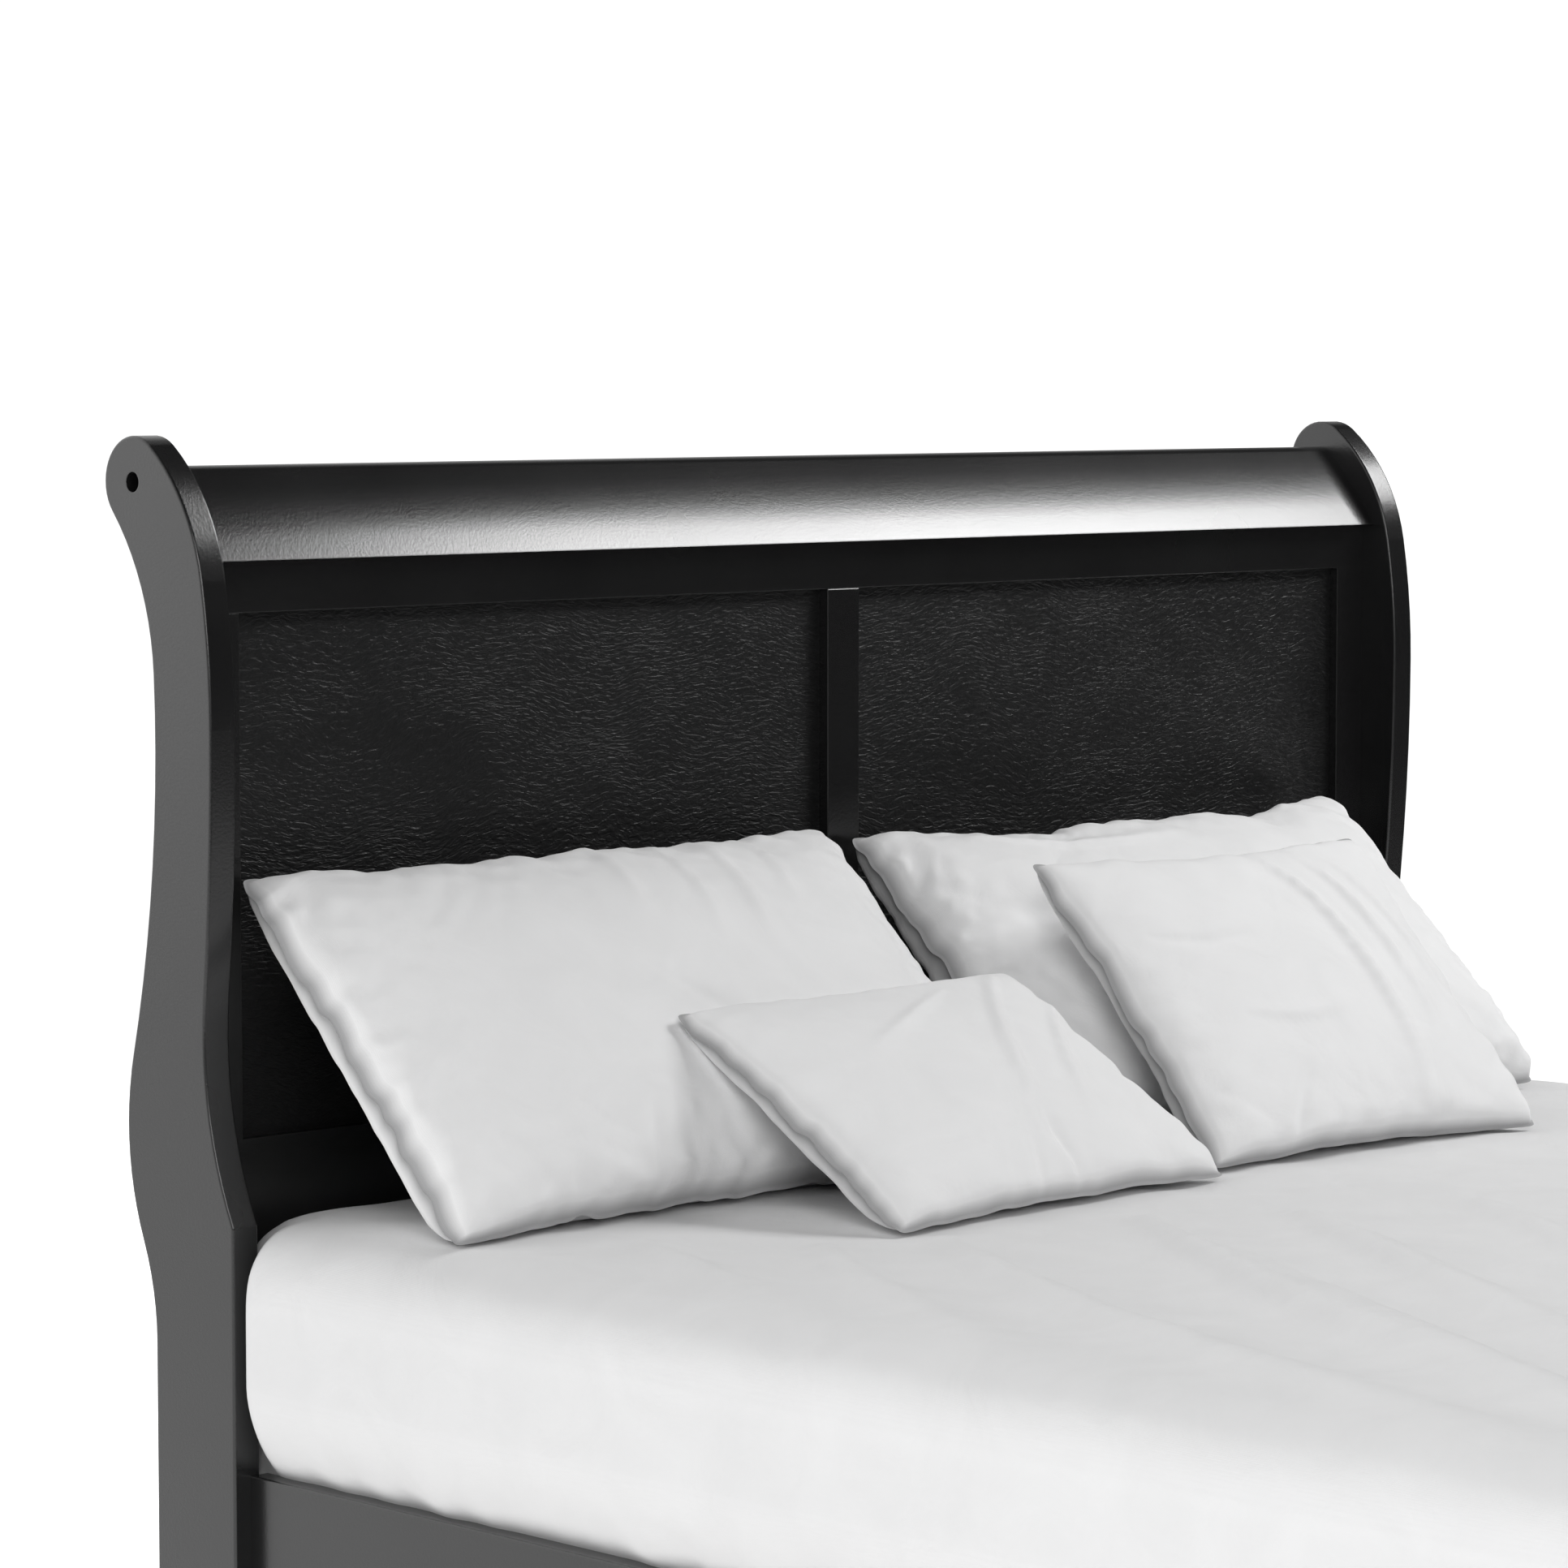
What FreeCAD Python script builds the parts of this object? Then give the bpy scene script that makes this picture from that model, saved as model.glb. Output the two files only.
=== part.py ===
import FreeCAD, Part
import math
import os
import Sketcher
from FreeCAD import Rotation, Vector

# A double sleigh bed: two framed ends between S-shaped posts, joined by side rails, with a slatted base,
# a mattress in a fitted sheet, two pillows and two cushions.
# The origin is on the floor at the centre of the bed. +Y points to the head, +X to the sleeper's left, +Z up.
# Every length is in millimetres.

# ---------------------------------------------------------------- driving dimensions

SIZES = [
    ("post_gap", 1392, "clear width between a left post and a right post"),
    ("side_rail_length", 1787, "from the front of the head posts to the front of the foot posts"),
    ("head_height", 1180, "floor to the top of the head scrolls"),
    ("foot_height", 640, "floor to the top of the foot scrolls"),
    ("rail_top", 378, "floor to the top of the side rails"),

    ("post_thickness", 25, "thickness of a post board"),
    ("post_depth", 98, "depth of the straight leg of a post"),
    ("edge_round", 2.2, "round on the edges of the posts"),
    ("knee_round", 6, "round on the corner where the leg starts"),
    ("scroll_radius", 36, "radius of the rolled top of a post"),
    ("scroll_set", 118, "scroll centre behind the front of the leg"),
    ("belly_set", 22.5, "front of the upper post behind the front of the leg"),
    ("waist_depth", 93.5, "back of the narrow part of a post behind the front of the leg"),

    ("head_belly_drop", 225, "scroll top down to the foremost point of the upper post"),
    ("head_shoulder_rise", 114, "length of the flat curve above that point"),
    ("head_shoulder_radius", 650, "radius of the flat curve above it"),
    ("head_belly_radius", 2150, "radius of the flat curve below it"),
    ("head_knee_drop", 607, "scroll top down to the corner where the leg starts"),
    ("head_knee_radius", 320, "radius of the hollow above that corner"),
    ("head_waist_drop", 235, "scroll top down to the narrow part"),
    ("head_waist_rise", 50, "length of the flat curve above the narrow part"),
    ("head_waist_radius", 1000, "radius of the back at the narrow part"),
    ("head_bulge_depth", 132, "back of the swell above the leg"),
    ("head_bulge_radius", 230, "radius of the swell"),
    ("head_heel_radius", 200, "radius of the hollow between the swell and the leg"),

    ("foot_belly_drop", 150, "as for the head, and so on for the sizes below"),
    ("foot_shoulder_rise", 40, "as for the head"),
    ("foot_shoulder_radius", 300, "as for the head"),
    ("foot_belly_radius", 500, "as for the head"),
    ("foot_knee_drop", 262, "as for the head"),
    ("foot_knee_radius", 110, "as for the head"),
    ("foot_waist_drop", 160, "as for the head"),
    ("foot_waist_rise", 10, "as for the head"),
    ("foot_waist_radius", 200, "as for the head"),
    ("foot_bulge_depth", 114, "as for the head"),
    ("foot_bulge_radius", 150, "as for the head"),
    ("foot_heel_radius", 150, "as for the head"),

    ("bolt_hole_radius", 8, "access hole in the scroll"),
    ("bolt_hole_depth", 18, "depth of the access hole"),
    ("bolt_radius", 4, "shank of a cap screw"),
    ("bolt_head_radius", 6.5, "head of a cap screw"),
    ("bolt_head_height", 5, "head of a cap screw"),
    ("bolt_length", 60, "shank of a cap screw"),

    ("frame_set", 64, "front of the framed panel behind the front of the leg"),
    ("frame_thickness", 22, "thickness of the framed panel"),
    ("cap_drop", 24, "scroll top down to the top of the cap rail"),
    ("cap_bottom_drop", 97, "scroll top down to the underside of the cap rail"),
    ("cap_lip", 14, "how far the cap rail stands in front of the frame"),
    ("cap_roll_radius", 16, "radius of the rolled top of the cap rail"),
    ("cap_face_radius", 320, "radius of the front of the cap rail"),
    ("cap_back_radius", 130, "radius of the hollow back of the cap rail"),
    ("top_rail_height", 41, "visible height of the flat rail under the cap rail"),
    ("tongue_height", 12, "tongue of the top rail in the cap rail"),
    ("tongue_thickness", 10, "thickness of that tongue"),
    ("stile_width", 36, "width of the stiles beside the posts"),
    ("centre_stile_width", 38, "width of the stile between the panels"),
    ("centre_stile_proud", 1.5, "how far the centre stile stands in front of the frame"),
    ("panel_thickness", 6, "thickness of a panel"),
    ("panel_recess", 9, "front of a panel behind the front of the frame"),
    ("groove_depth", 8, "depth of the grooves that hold the panels"),
    ("groove_play", 1, "space left for a panel to swell"),
    ("head_bottom_rail_top", 629, "floor to the top of the head's bottom rail"),
    ("foot_bottom_rail_top", 320, "floor to the top of the foot's bottom rail"),
    ("dowel_radius", 4, "dowels between posts and rails"),
    ("dowel_length", 36, "half in the post and half in the rail"),
    ("dowel_depth", 15, "depth of a dowel in the post"),

    ("rail_height", 180, "height of a side rail"),
    ("rail_thickness", 18, "thickness of a side rail"),
    ("rail_inset", 16, "outer face of a side rail in from the outer face of the posts"),
    ("ledge_thickness", 24, "width of the ledges under the slats"),
    ("ledge_height", 30, "height of the ledges"),
    ("slat_drop", 56, "top of the side rail down to the top of the slats"),
    ("slat_thickness", 18, "thickness of a slat"),
    ("slat_width", 70, "width of a slat"),
    ("slat_play", 2, "space between a slat's end and the side rail"),
    ("slat_margin", 10, "end of the side rails to the first and last slat"),
    ("block_width", 40, "corner block, across the bed"),
    ("block_drop", 78, "top of the side rail down to the top of a corner block"),
    ("bracket_leg", 46, "leg of a corner bracket along the side rail"),
    ("bracket_thickness", 3, "sheet thickness of a corner bracket"),
    ("bracket_height", 68, "height of a corner bracket"),
    ("bracket_margin", 8, "edge of a corner block left bare by the bracket"),
    ("bolt_margin", 10, "wood left beyond the end of a bracket bolt"),
    ("beam_width", 40, "centre beam, across the bed"),
    ("beam_height", 58, "height of the centre beam"),
    ("hanger_thickness", 2.5, "sheet thickness of a beam hanger"),
    ("hanger_depth", 40, "length of beam that lies in a hanger"),
    ("leg_size", 40, "section of a support leg"),
    ("glide_radius", 9, "nylon glides under the posts and legs"),
    ("glide_height", 4, "height of a glide"),

    ("mattress_side_play", 13, "space between the mattress and a post"),
    ("mattress_end_play", 2.5, "space between the mattress and the framed panels"),
    ("mattress_height", 252, "a double mattress"),
    ("mattress_corner", 70, "round of its upright corners"),
    ("mattress_crown", 45, "round of its top edge"),
    ("sheet_thickness", 0.8, "fitted sheet"),
    ("sheet_hem", 30, "bottom of the mattress up to the hem of the sheet"),
    ("soft_gap", 0.3, "space round each soft piece"),
    ("seam_thickness", 6, "thickness of a cushion at its seam"),
]
CUSHION_SIZES = ("width", "height", "thick", "middle", "setback", "lean", "turn")
CUSHIONS = {
    "pillow_left": (625, 362, 130, -364, 213.5, 45, 0),
    "pillow_right": (628, 350, 130, 306, 203.5, 45, 0),
    "cushion_square": (384, 322, 84, 210, 365.5, 43.5, -4),
    "cushion_small": (392, 276, 78, -203, 393, 58, 3.3),
}
for cushion_name, values in CUSHIONS.items():
    SIZES += [(f"{cushion_name}_{part}", value, "middle of the lower edge, and its distance from the head posts")
              for part, value in zip(CUSHION_SIZES, values)]
SLAT_COUNT = 13
LEG_PLACES = (-0.25, 0.25)

doc = FreeCAD.newDocument("SleighBed")
sheet = doc.addObject("Spreadsheet::Sheet", "Sizes")
for row, (alias, value, note) in enumerate(SIZES, 1):
    sheet.set(f"A{row}", note)
    sheet.set(f"B{row}", str(value))
    sheet.setAlias(f"B{row}", alias)
doc.recompute()


class Length:
    """A length that knows its value and the spreadsheet expression that gives it."""

    def __init__(self, value, text):
        self.value, self.text = value, text

    def __add__(self, other):
        other = as_length(other)
        return Length(self.value + other.value, f"({self.text} + {other.text})")

    def __sub__(self, other):
        other = as_length(other)
        return Length(self.value - other.value, f"({self.text} - {other.text})")

    def __mul__(self, factor):
        factor = as_length(factor)
        return Length(self.value * factor.value, f"({self.text} * {factor.text})")

    def __truediv__(self, divisor):
        divisor = as_length(divisor)
        return Length(self.value / divisor.value, f"({self.text} / {divisor.text})")

    def __neg__(self):
        return self * -1

    def __radd__(self, other):
        return as_length(other) + self

    def __rsub__(self, other):
        return as_length(other) - self

    def __rmul__(self, factor):
        return self * factor


def as_length(number):
    return number if isinstance(number, Length) else Length(float(number), f"({float(number)})")


def size(alias):
    return Length(float(sheet.get(alias)), f"Sizes.{alias}")


def bind(thing, **lengths):
    for name, length in lengths.items():
        thing.setExpression(name, as_length(length).text)


def move(thing, x=0, y=0, z=0):
    """Place a piece at lengths from the sheet."""
    for axis, length in (("x", x), ("y", y), ("z", z)):
        length = as_length(length)
        setattr(thing.Placement.Base, axis, length.value)
        thing.setExpression(f"Placement.Base.{axis}", length.text)
    return thing


# ---------------------------------------------------------------- ways to make a piece

pieces = []


def piece(thing, label):
    """Name a finished sub-part: its label is also the name of its file."""
    thing.Label = label
    pieces.append(thing)
    return thing


def board(name, low, extent):
    """A plain board from its low corner and its three sizes."""
    box = doc.addObject("Part::Box", name)
    bind(box, Length=extent[0], Width=extent[1], Height=extent[2])
    return move(box, *low)


def rod(name, radius, length, low, axis):
    """A round rod from a point, along +X, -X, +Y, -Y, +Z or -Z."""
    cylinder = doc.addObject("Part::Cylinder", name)
    bind(cylinder, Radius=radius, Height=length)
    cylinder.Placement.Rotation = Rotation(Vector(0, 0, 1), Vector(*axis))
    return move(cylinder, *low)


def joined(name, parts):
    union = doc.addObject("Part::MultiFuse", name)
    union.Shapes = parts
    return union


def cut(name, base, *tools):
    for number, tool in enumerate(tools):
        result = doc.addObject("Part::Cut", f"{name}_cut_{number}")
        result.Base, result.Tool = base, tool
        base = result
    return base


def new_sketch(body, role, name):
    sketch = body.newObject("Sketcher::SketchObject", name)
    plane = next(feature for feature in body.Origin.OriginFeatures if feature.Role == role)
    sketch.AttachmentSupport = [(plane, "")]
    sketch.MapMode = "FlatFace"
    return sketch


def fix_point(sketch, geometry, point, across, up):
    """Hold one end or centre of a sketch element at two lengths from the sketch's origin."""
    for kind, length in (("DistanceX", across), ("DistanceY", up)):
        length = as_length(length)
        index = sketch.addConstraint(Sketcher.Constraint(kind, -1, 1, geometry, point, length.value))
        sketch.setExpression(f"Constraints[{index}]", length.text)


def profile(name, role, corners, height):
    """A straight moulding: a cornered outline on one origin plane, padded to a length."""
    body = doc.addObject("PartDesign::Body", name)
    sketch = new_sketch(body, role, f"{name}_outline")
    points = [Vector(as_length(across).value, as_length(up).value, 0) for across, up in corners]
    for number, point in enumerate(points):
        sketch.addGeometry(Part.LineSegment(point, points[(number + 1) % len(points)]), False)
    for number in range(len(points)):
        sketch.addConstraint(Sketcher.Constraint("Coincident", number, 2, (number + 1) % len(points), 1))
    for number, (across, up) in enumerate(corners):
        fix_point(sketch, number, 1, across, up)
    pad = body.newObject("PartDesign::Pad", f"{name}_pad")
    pad.Profile = sketch
    bind(pad, Length=height)
    return body


class Outline:
    """A closed sketch outline, drawn from point to point with lines and arcs."""

    def __init__(self, sketch, start):
        self.sketch, self.start, self.at = sketch, start, start
        self.ends = []

    def _add(self, geometry, first, last, point, smooth):
        index = self.sketch.addGeometry(geometry, False)
        if self.ends:
            before, _, before_last = self.ends[-1]
            kind = "Tangent" if smooth else "Coincident"
            self.sketch.addConstraint(Sketcher.Constraint(kind, before, before_last, index, first))
        self.ends.append((index, first, last))
        self.at = point
        return index

    def line_to(self, point, smooth=False):
        return self._add(Part.LineSegment(self.at, point), 1, 2, point, smooth)

    def arc_to(self, point, centre, smooth=True):
        """An arc of less than half a turn about a centre."""
        radius = (point - centre).Length
        turns_left = (self.at - centre).cross(point - centre).z > 0
        low, high = (self.at, point) if turns_left else (point, self.at)
        angles = [math.atan2(end.y - centre.y, end.x - centre.x) for end in (low, high)]
        arc = Part.ArcOfCircle(Part.Circle(centre, Vector(0, 0, 1), radius), *angles)
        first, last = (1, 2) if turns_left else (2, 1)
        return self._add(arc, first, last, point, smooth)

    def close(self):
        index, _, last = self.ends[-1]
        self.sketch.addConstraint(Sketcher.Constraint("Coincident", index, last, 0, self.ends[0][1]))

    def hold(self, geometry, point, across=None, up=None):
        """Tie one end (1, 2) or centre (3) of an element to lengths from the sketch's origin."""
        for kind, length in (("DistanceX", across), ("DistanceY", up)):
            if length is not None:
                length = as_length(length)
                constraint = Sketcher.Constraint(kind, -1, 1, geometry, point, length.value)
                self.sketch.setExpression(f"Constraints[{self.sketch.addConstraint(constraint)}]", length.text)

    def radius(self, geometry, length):
        index = self.sketch.addConstraint(Sketcher.Constraint("Radius", geometry, length.value))
        self.sketch.setExpression(f"Constraints[{index}]", length.text)


def along(start, towards, distance):
    return start + (towards - start).normalize() * distance


def meeting(centre_a, radius_a, centre_b, radius_b, left):
    """Where two circles cross, on the left or the right of the line from a to b."""
    gap = centre_b - centre_a
    reach = (radius_a ** 2 - radius_b ** 2 + gap.Length ** 2) / (2 * gap.Length)
    rise = math.sqrt(radius_a ** 2 - reach ** 2)
    ahead = Vector(gap).normalize()
    aside = Vector(-ahead.y, ahead.x, 0) * (1 if left else -1)
    return centre_a + ahead * reach + aside * rise


# ---------------------------------------------------------------- sizes that follow from the driving ones

gap = size("post_gap")
thickness = size("post_thickness")
reach = size("side_rail_length") / 2
glide = size("glide_height")
frame_front = size("frame_set")
frame_back = frame_front + size("frame_thickness")
frame_middle = frame_front + size("frame_thickness") / 2
panel_front = frame_front + size("panel_recess")
panel_back = panel_front + size("panel_thickness")
groove = size("groove_depth")
panel_grip = groove - size("groove_play")
rail_top = size("rail_top")
rail_bottom = rail_top - size("rail_height")
rail_outer = gap / 2 + thickness - size("rail_inset")
rail_inner = rail_outer - size("rail_thickness")
slat_top = rail_top - size("slat_drop")
slat_bottom = slat_top - size("slat_thickness")
ledge_bottom = slat_bottom - size("ledge_height")
HEIGHT = {"head": size("head_height"), "foot": size("foot_height")}
BOTTOM_RAIL_TOP = {"head": size("head_bottom_rail_top"), "foot": size("foot_bottom_rail_top")}


def top_rail_low(end):
    return HEIGHT[end] - size("cap_bottom_drop") - size("top_rail_height")


def place(thing, end, x=0, y=0, z=0):
    """Put a piece of the headboard or footboard where it belongs.

    Both ends are drawn alike, y counting outwards from the inner face of the post legs; the foot is turned round.
    """
    if end == "foot":
        thing.Placement.Rotation = Rotation(Vector(0, 0, 1), 180).multiply(thing.Placement.Rotation)
        return move(thing, -as_length(x), -(reach + y), z)
    return move(thing, x, reach + y, z)


def side_name(end, side):
    """Left is the -X side of the bed, for both ends."""
    return "left" if (side < 0) == (end == "head") else "right"


def low_edge(side, inner, width):
    """The lower X of something that starts at inner and is width wide, on either side of the middle."""
    return inner if side > 0 else -(inner + width)


def end_board(name, end, low, extent):
    return place(board(name, (0, 0, 0), extent), end, *low)


def end_rod(name, end, radius, length, low, axis):
    return place(rod(name, radius, length, (0, 0, 0), axis), end, *low)


ENDS = ("head", "foot")
SIDES = (-1, 1)

# ---------------------------------------------------------------- fasteners, which the boards are then bored for

# A countersunk-bore screw through each scroll into the end of the cap rail, with a hexagon socket.
scroll_centre = {end: HEIGHT[end] - size("scroll_radius") for end in ENDS}
screw_parts, sockets, access = [], [], {}
for end in ENDS:
    for side in SIDES:
        tag = f"{end}_{side_name(end, side)}"
        outer = (gap / 2 + thickness) * side
        seat = outer - size("bolt_hole_depth") * side
        spot = (size("scroll_set"), scroll_centre[end])
        head_start = seat + size("bolt_head_height") * side
        inward = (-side, 0, 0)
        access[tag] = end_rod(f"access_{tag}", end, size("bolt_hole_radius"), size("bolt_hole_depth"),
                              (outer, *spot), inward)
        screw_parts.append(end_rod(f"cap_head_{tag}", end, size("bolt_head_radius"),
                                   size("bolt_head_height"), (head_start, *spot), inward))
        screw_parts.append(end_rod(f"cap_shank_{tag}", end, size("bolt_radius"), size("bolt_length"),
                                   (seat, *spot), inward))
        socket = doc.addObject("Part::Prism", f"cap_socket_{tag}")
        socket.Polygon = 6
        bind(socket, Circumradius=size("bolt_radius") * 0.75, Height=size("bolt_head_height") * 0.6)
        socket.Placement.Rotation = Rotation(Vector(0, 0, 1), Vector(*inward))
        sockets.append(place(socket, end, head_start, *spot))
cap_screws = piece(cut("cap_screw", joined("cap_screw_blanks", screw_parts), joined("cap_sockets", sockets)),
                   "cap_screws")

# Beech dowels: posts to rails, and support legs to the centre beam.
dowels = []
for end in ENDS:
    bottom_rail_mid = (BOTTOM_RAIL_TOP[end] + rail_bottom) / 2
    spread = (BOTTOM_RAIL_TOP[end] - rail_bottom) / 3
    heights = [top_rail_low(end) + size("top_rail_height") / 2, bottom_rail_mid - spread, bottom_rail_mid + spread]
    for side in SIDES:
        start = gap / 2 * side + size("dowel_depth") * side
        for number, height in enumerate(heights):
            dowels.append(end_rod(f"dowel_{end}_{side_name(end, side)}_{number}", end, size("dowel_radius"),
                                  size("dowel_length"), (start, frame_middle, height), (-side, 0, 0)))
leg_places = [size("side_rail_length") * share for share in LEG_PLACES]
beam_bottom = slat_bottom - size("beam_height")
for number, leg_y in enumerate(leg_places):
    dowels.append(rod(f"leg_dowel_{number}", size("dowel_radius"), size("dowel_length"),
                      (0, leg_y, beam_bottom - size("dowel_length") / 2), (0, 0, 1)))
frame_dowels = piece(joined("frame_dowels", dowels), "frame_dowels")

# Nylon glides with a nail, under each post and leg.
glide_parts = []
NAIL_LENGTH, NAIL_RADIUS = 15, 1.5
glide_spots = [(x, y) for y in (reach + size("post_depth") / 2, -(reach + size("post_depth") / 2))
               for x in (gap / 2 + thickness / 2, -(gap / 2 + thickness / 2))]
glide_spots += [(as_length(0), leg_y) for leg_y in leg_places]
for number, (x, y) in enumerate(glide_spots):
    glide_parts.append(rod(f"glide_pad_{number}", size("glide_radius"), glide, (x, y, 0), (0, 0, 1)))
    glide_parts.append(rod(f"glide_nail_{number}", NAIL_RADIUS, glide + NAIL_LENGTH, (x, y, 0), (0, 0, 1)))
floor_glides = piece(joined("floor_glides", glide_parts), "floor_glides")

# Hexagon bolts that hold the corner brackets to the corner blocks.
BRACKET_RISE = 4
BOLT_SPOTS = (0.25, 0.75)
bracket_low = rail_bottom + BRACKET_RISE
sheet_metal = size("bracket_thickness")
bolt_x = rail_inner - size("block_width") / 2
bolt_parts = []
for end in ENDS:
    for side in SIDES:
        for number, share in enumerate(BOLT_SPOTS):
            spot = (bolt_x * side, bracket_low + size("bracket_height") * share)
            tag = f"{end}_{side_name(end, side)}_{number}"
            shank = end_rod(f"bracket_shank_{tag}", end, size("bolt_radius"), frame_front - size("bolt_margin"),
                            (spot[0], -sheet_metal, spot[1]), (0, 1, 0))
            head = doc.addObject("Part::Prism", f"bracket_head_{tag}")
            head.Polygon = 6
            bind(head, Circumradius=size("bolt_head_radius"), Height=size("bolt_head_height"))
            head.Placement.Rotation = Rotation(Vector(0, 0, 1), Vector(0, -1, 0))
            bolt_parts += [shank, place(head, end, spot[0], -sheet_metal, spot[1])]
bracket_bolts = piece(joined("bracket_bolts", bolt_parts), "bracket_bolts")

# Pan-head screws: corner brackets to side rails, and beam hangers to the bottom rails.
SCREW_RADIUS, SCREW_HEAD_RADIUS, SCREW_HEAD_HEIGHT, SCREW_LENGTH = 2, 4, 2.2, 14


def pan_screw(name, end, spot, axis):
    """A pan-head screw from the face its head sits on, pointing along axis."""
    shank = end_rod(f"{name}_shank", end, SCREW_RADIUS, SCREW_LENGTH, spot, axis)
    outward = tuple(-part for part in axis)
    head = end_rod(f"{name}_head", end, SCREW_HEAD_RADIUS, SCREW_HEAD_HEIGHT, spot, outward)
    return [shank, head]


bracket_screw_parts = []
for end in ENDS:
    for side in SIDES:
        for number, share in enumerate((0.15, 0.5, 0.85)):
            spot = ((rail_inner - sheet_metal) * side, -(size("bracket_leg") / 2),
                    bracket_low + size("bracket_height") * share)
            bracket_screw_parts += pan_screw(f"bracket_screw_{end}_{side_name(end, side)}_{number}", end, spot,
                                             (side, 0, 0))
bracket_screws = piece(joined("bracket_screws", bracket_screw_parts), "bracket_screws")

HANGER_EAR = 16
hanger_metal = size("hanger_thickness")
hanger_screw_parts = []
for end in ENDS:
    for side in SIDES:
        for number, share in enumerate((0.2, 0.8)):
            spot = ((size("beam_width") / 2 + hanger_metal + HANGER_EAR / 2) * side, frame_front - hanger_metal,
                    beam_bottom + size("beam_height") * share)
            hanger_screw_parts += pan_screw(f"hanger_screw_{end}_{side_name(end, side)}_{number}", end, spot,
                                            (0, 1, 0))
hanger_screws = piece(joined("hanger_screws", hanger_screw_parts), "hanger_screws")

# Countersunk screws that hold each end of each slat to its ledge.
slat_first = size("slat_width") / 2 - reach + size("slat_margin")
slat_pitch = slat_first * (-2 / (SLAT_COUNT - 1))
slat_middles = [slat_first + slat_pitch * number for number in range(SLAT_COUNT)]
slat_screw_parts = []
for number, middle in enumerate(slat_middles):
    for side in SIDES:
        spot = ((rail_inner - size("ledge_thickness") / 2) * side, middle)
        tag = f"{number + 1:02d}_{'left' if side < 0 else 'right'}"
        slat_screw_parts.append(rod(f"slat_shank_{tag}", SCREW_RADIUS, size("slat_thickness") + SCREW_LENGTH,
                                    (*spot, slat_top), (0, 0, -1)))
        sink = doc.addObject("Part::Cone", f"slat_sink_{tag}")
        bind(sink, Radius1=SCREW_RADIUS, Radius2=SCREW_HEAD_RADIUS, Height=SCREW_HEAD_HEIGHT)
        slat_screw_parts.append(move(sink, *spot, slat_top - SCREW_HEAD_HEIGHT))
slat_screws = piece(joined("slat_screws", slat_screw_parts), "slat_screws")

# ---------------------------------------------------------------- posts

NEAR = 0.01


def soften(body, base, name, radius, chosen):
    """Round the edges of a body's last feature that a test picks out."""
    doc.recompute()
    ease = body.newObject("PartDesign::Fillet", name)
    edges = enumerate(base.Shape.Edges, 1)
    ease.Base = (base, [f"Edge{index}" for index, edge in edges if chosen(edge.BoundBox)])
    bind(ease, Radius=radius)
    return ease


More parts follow.
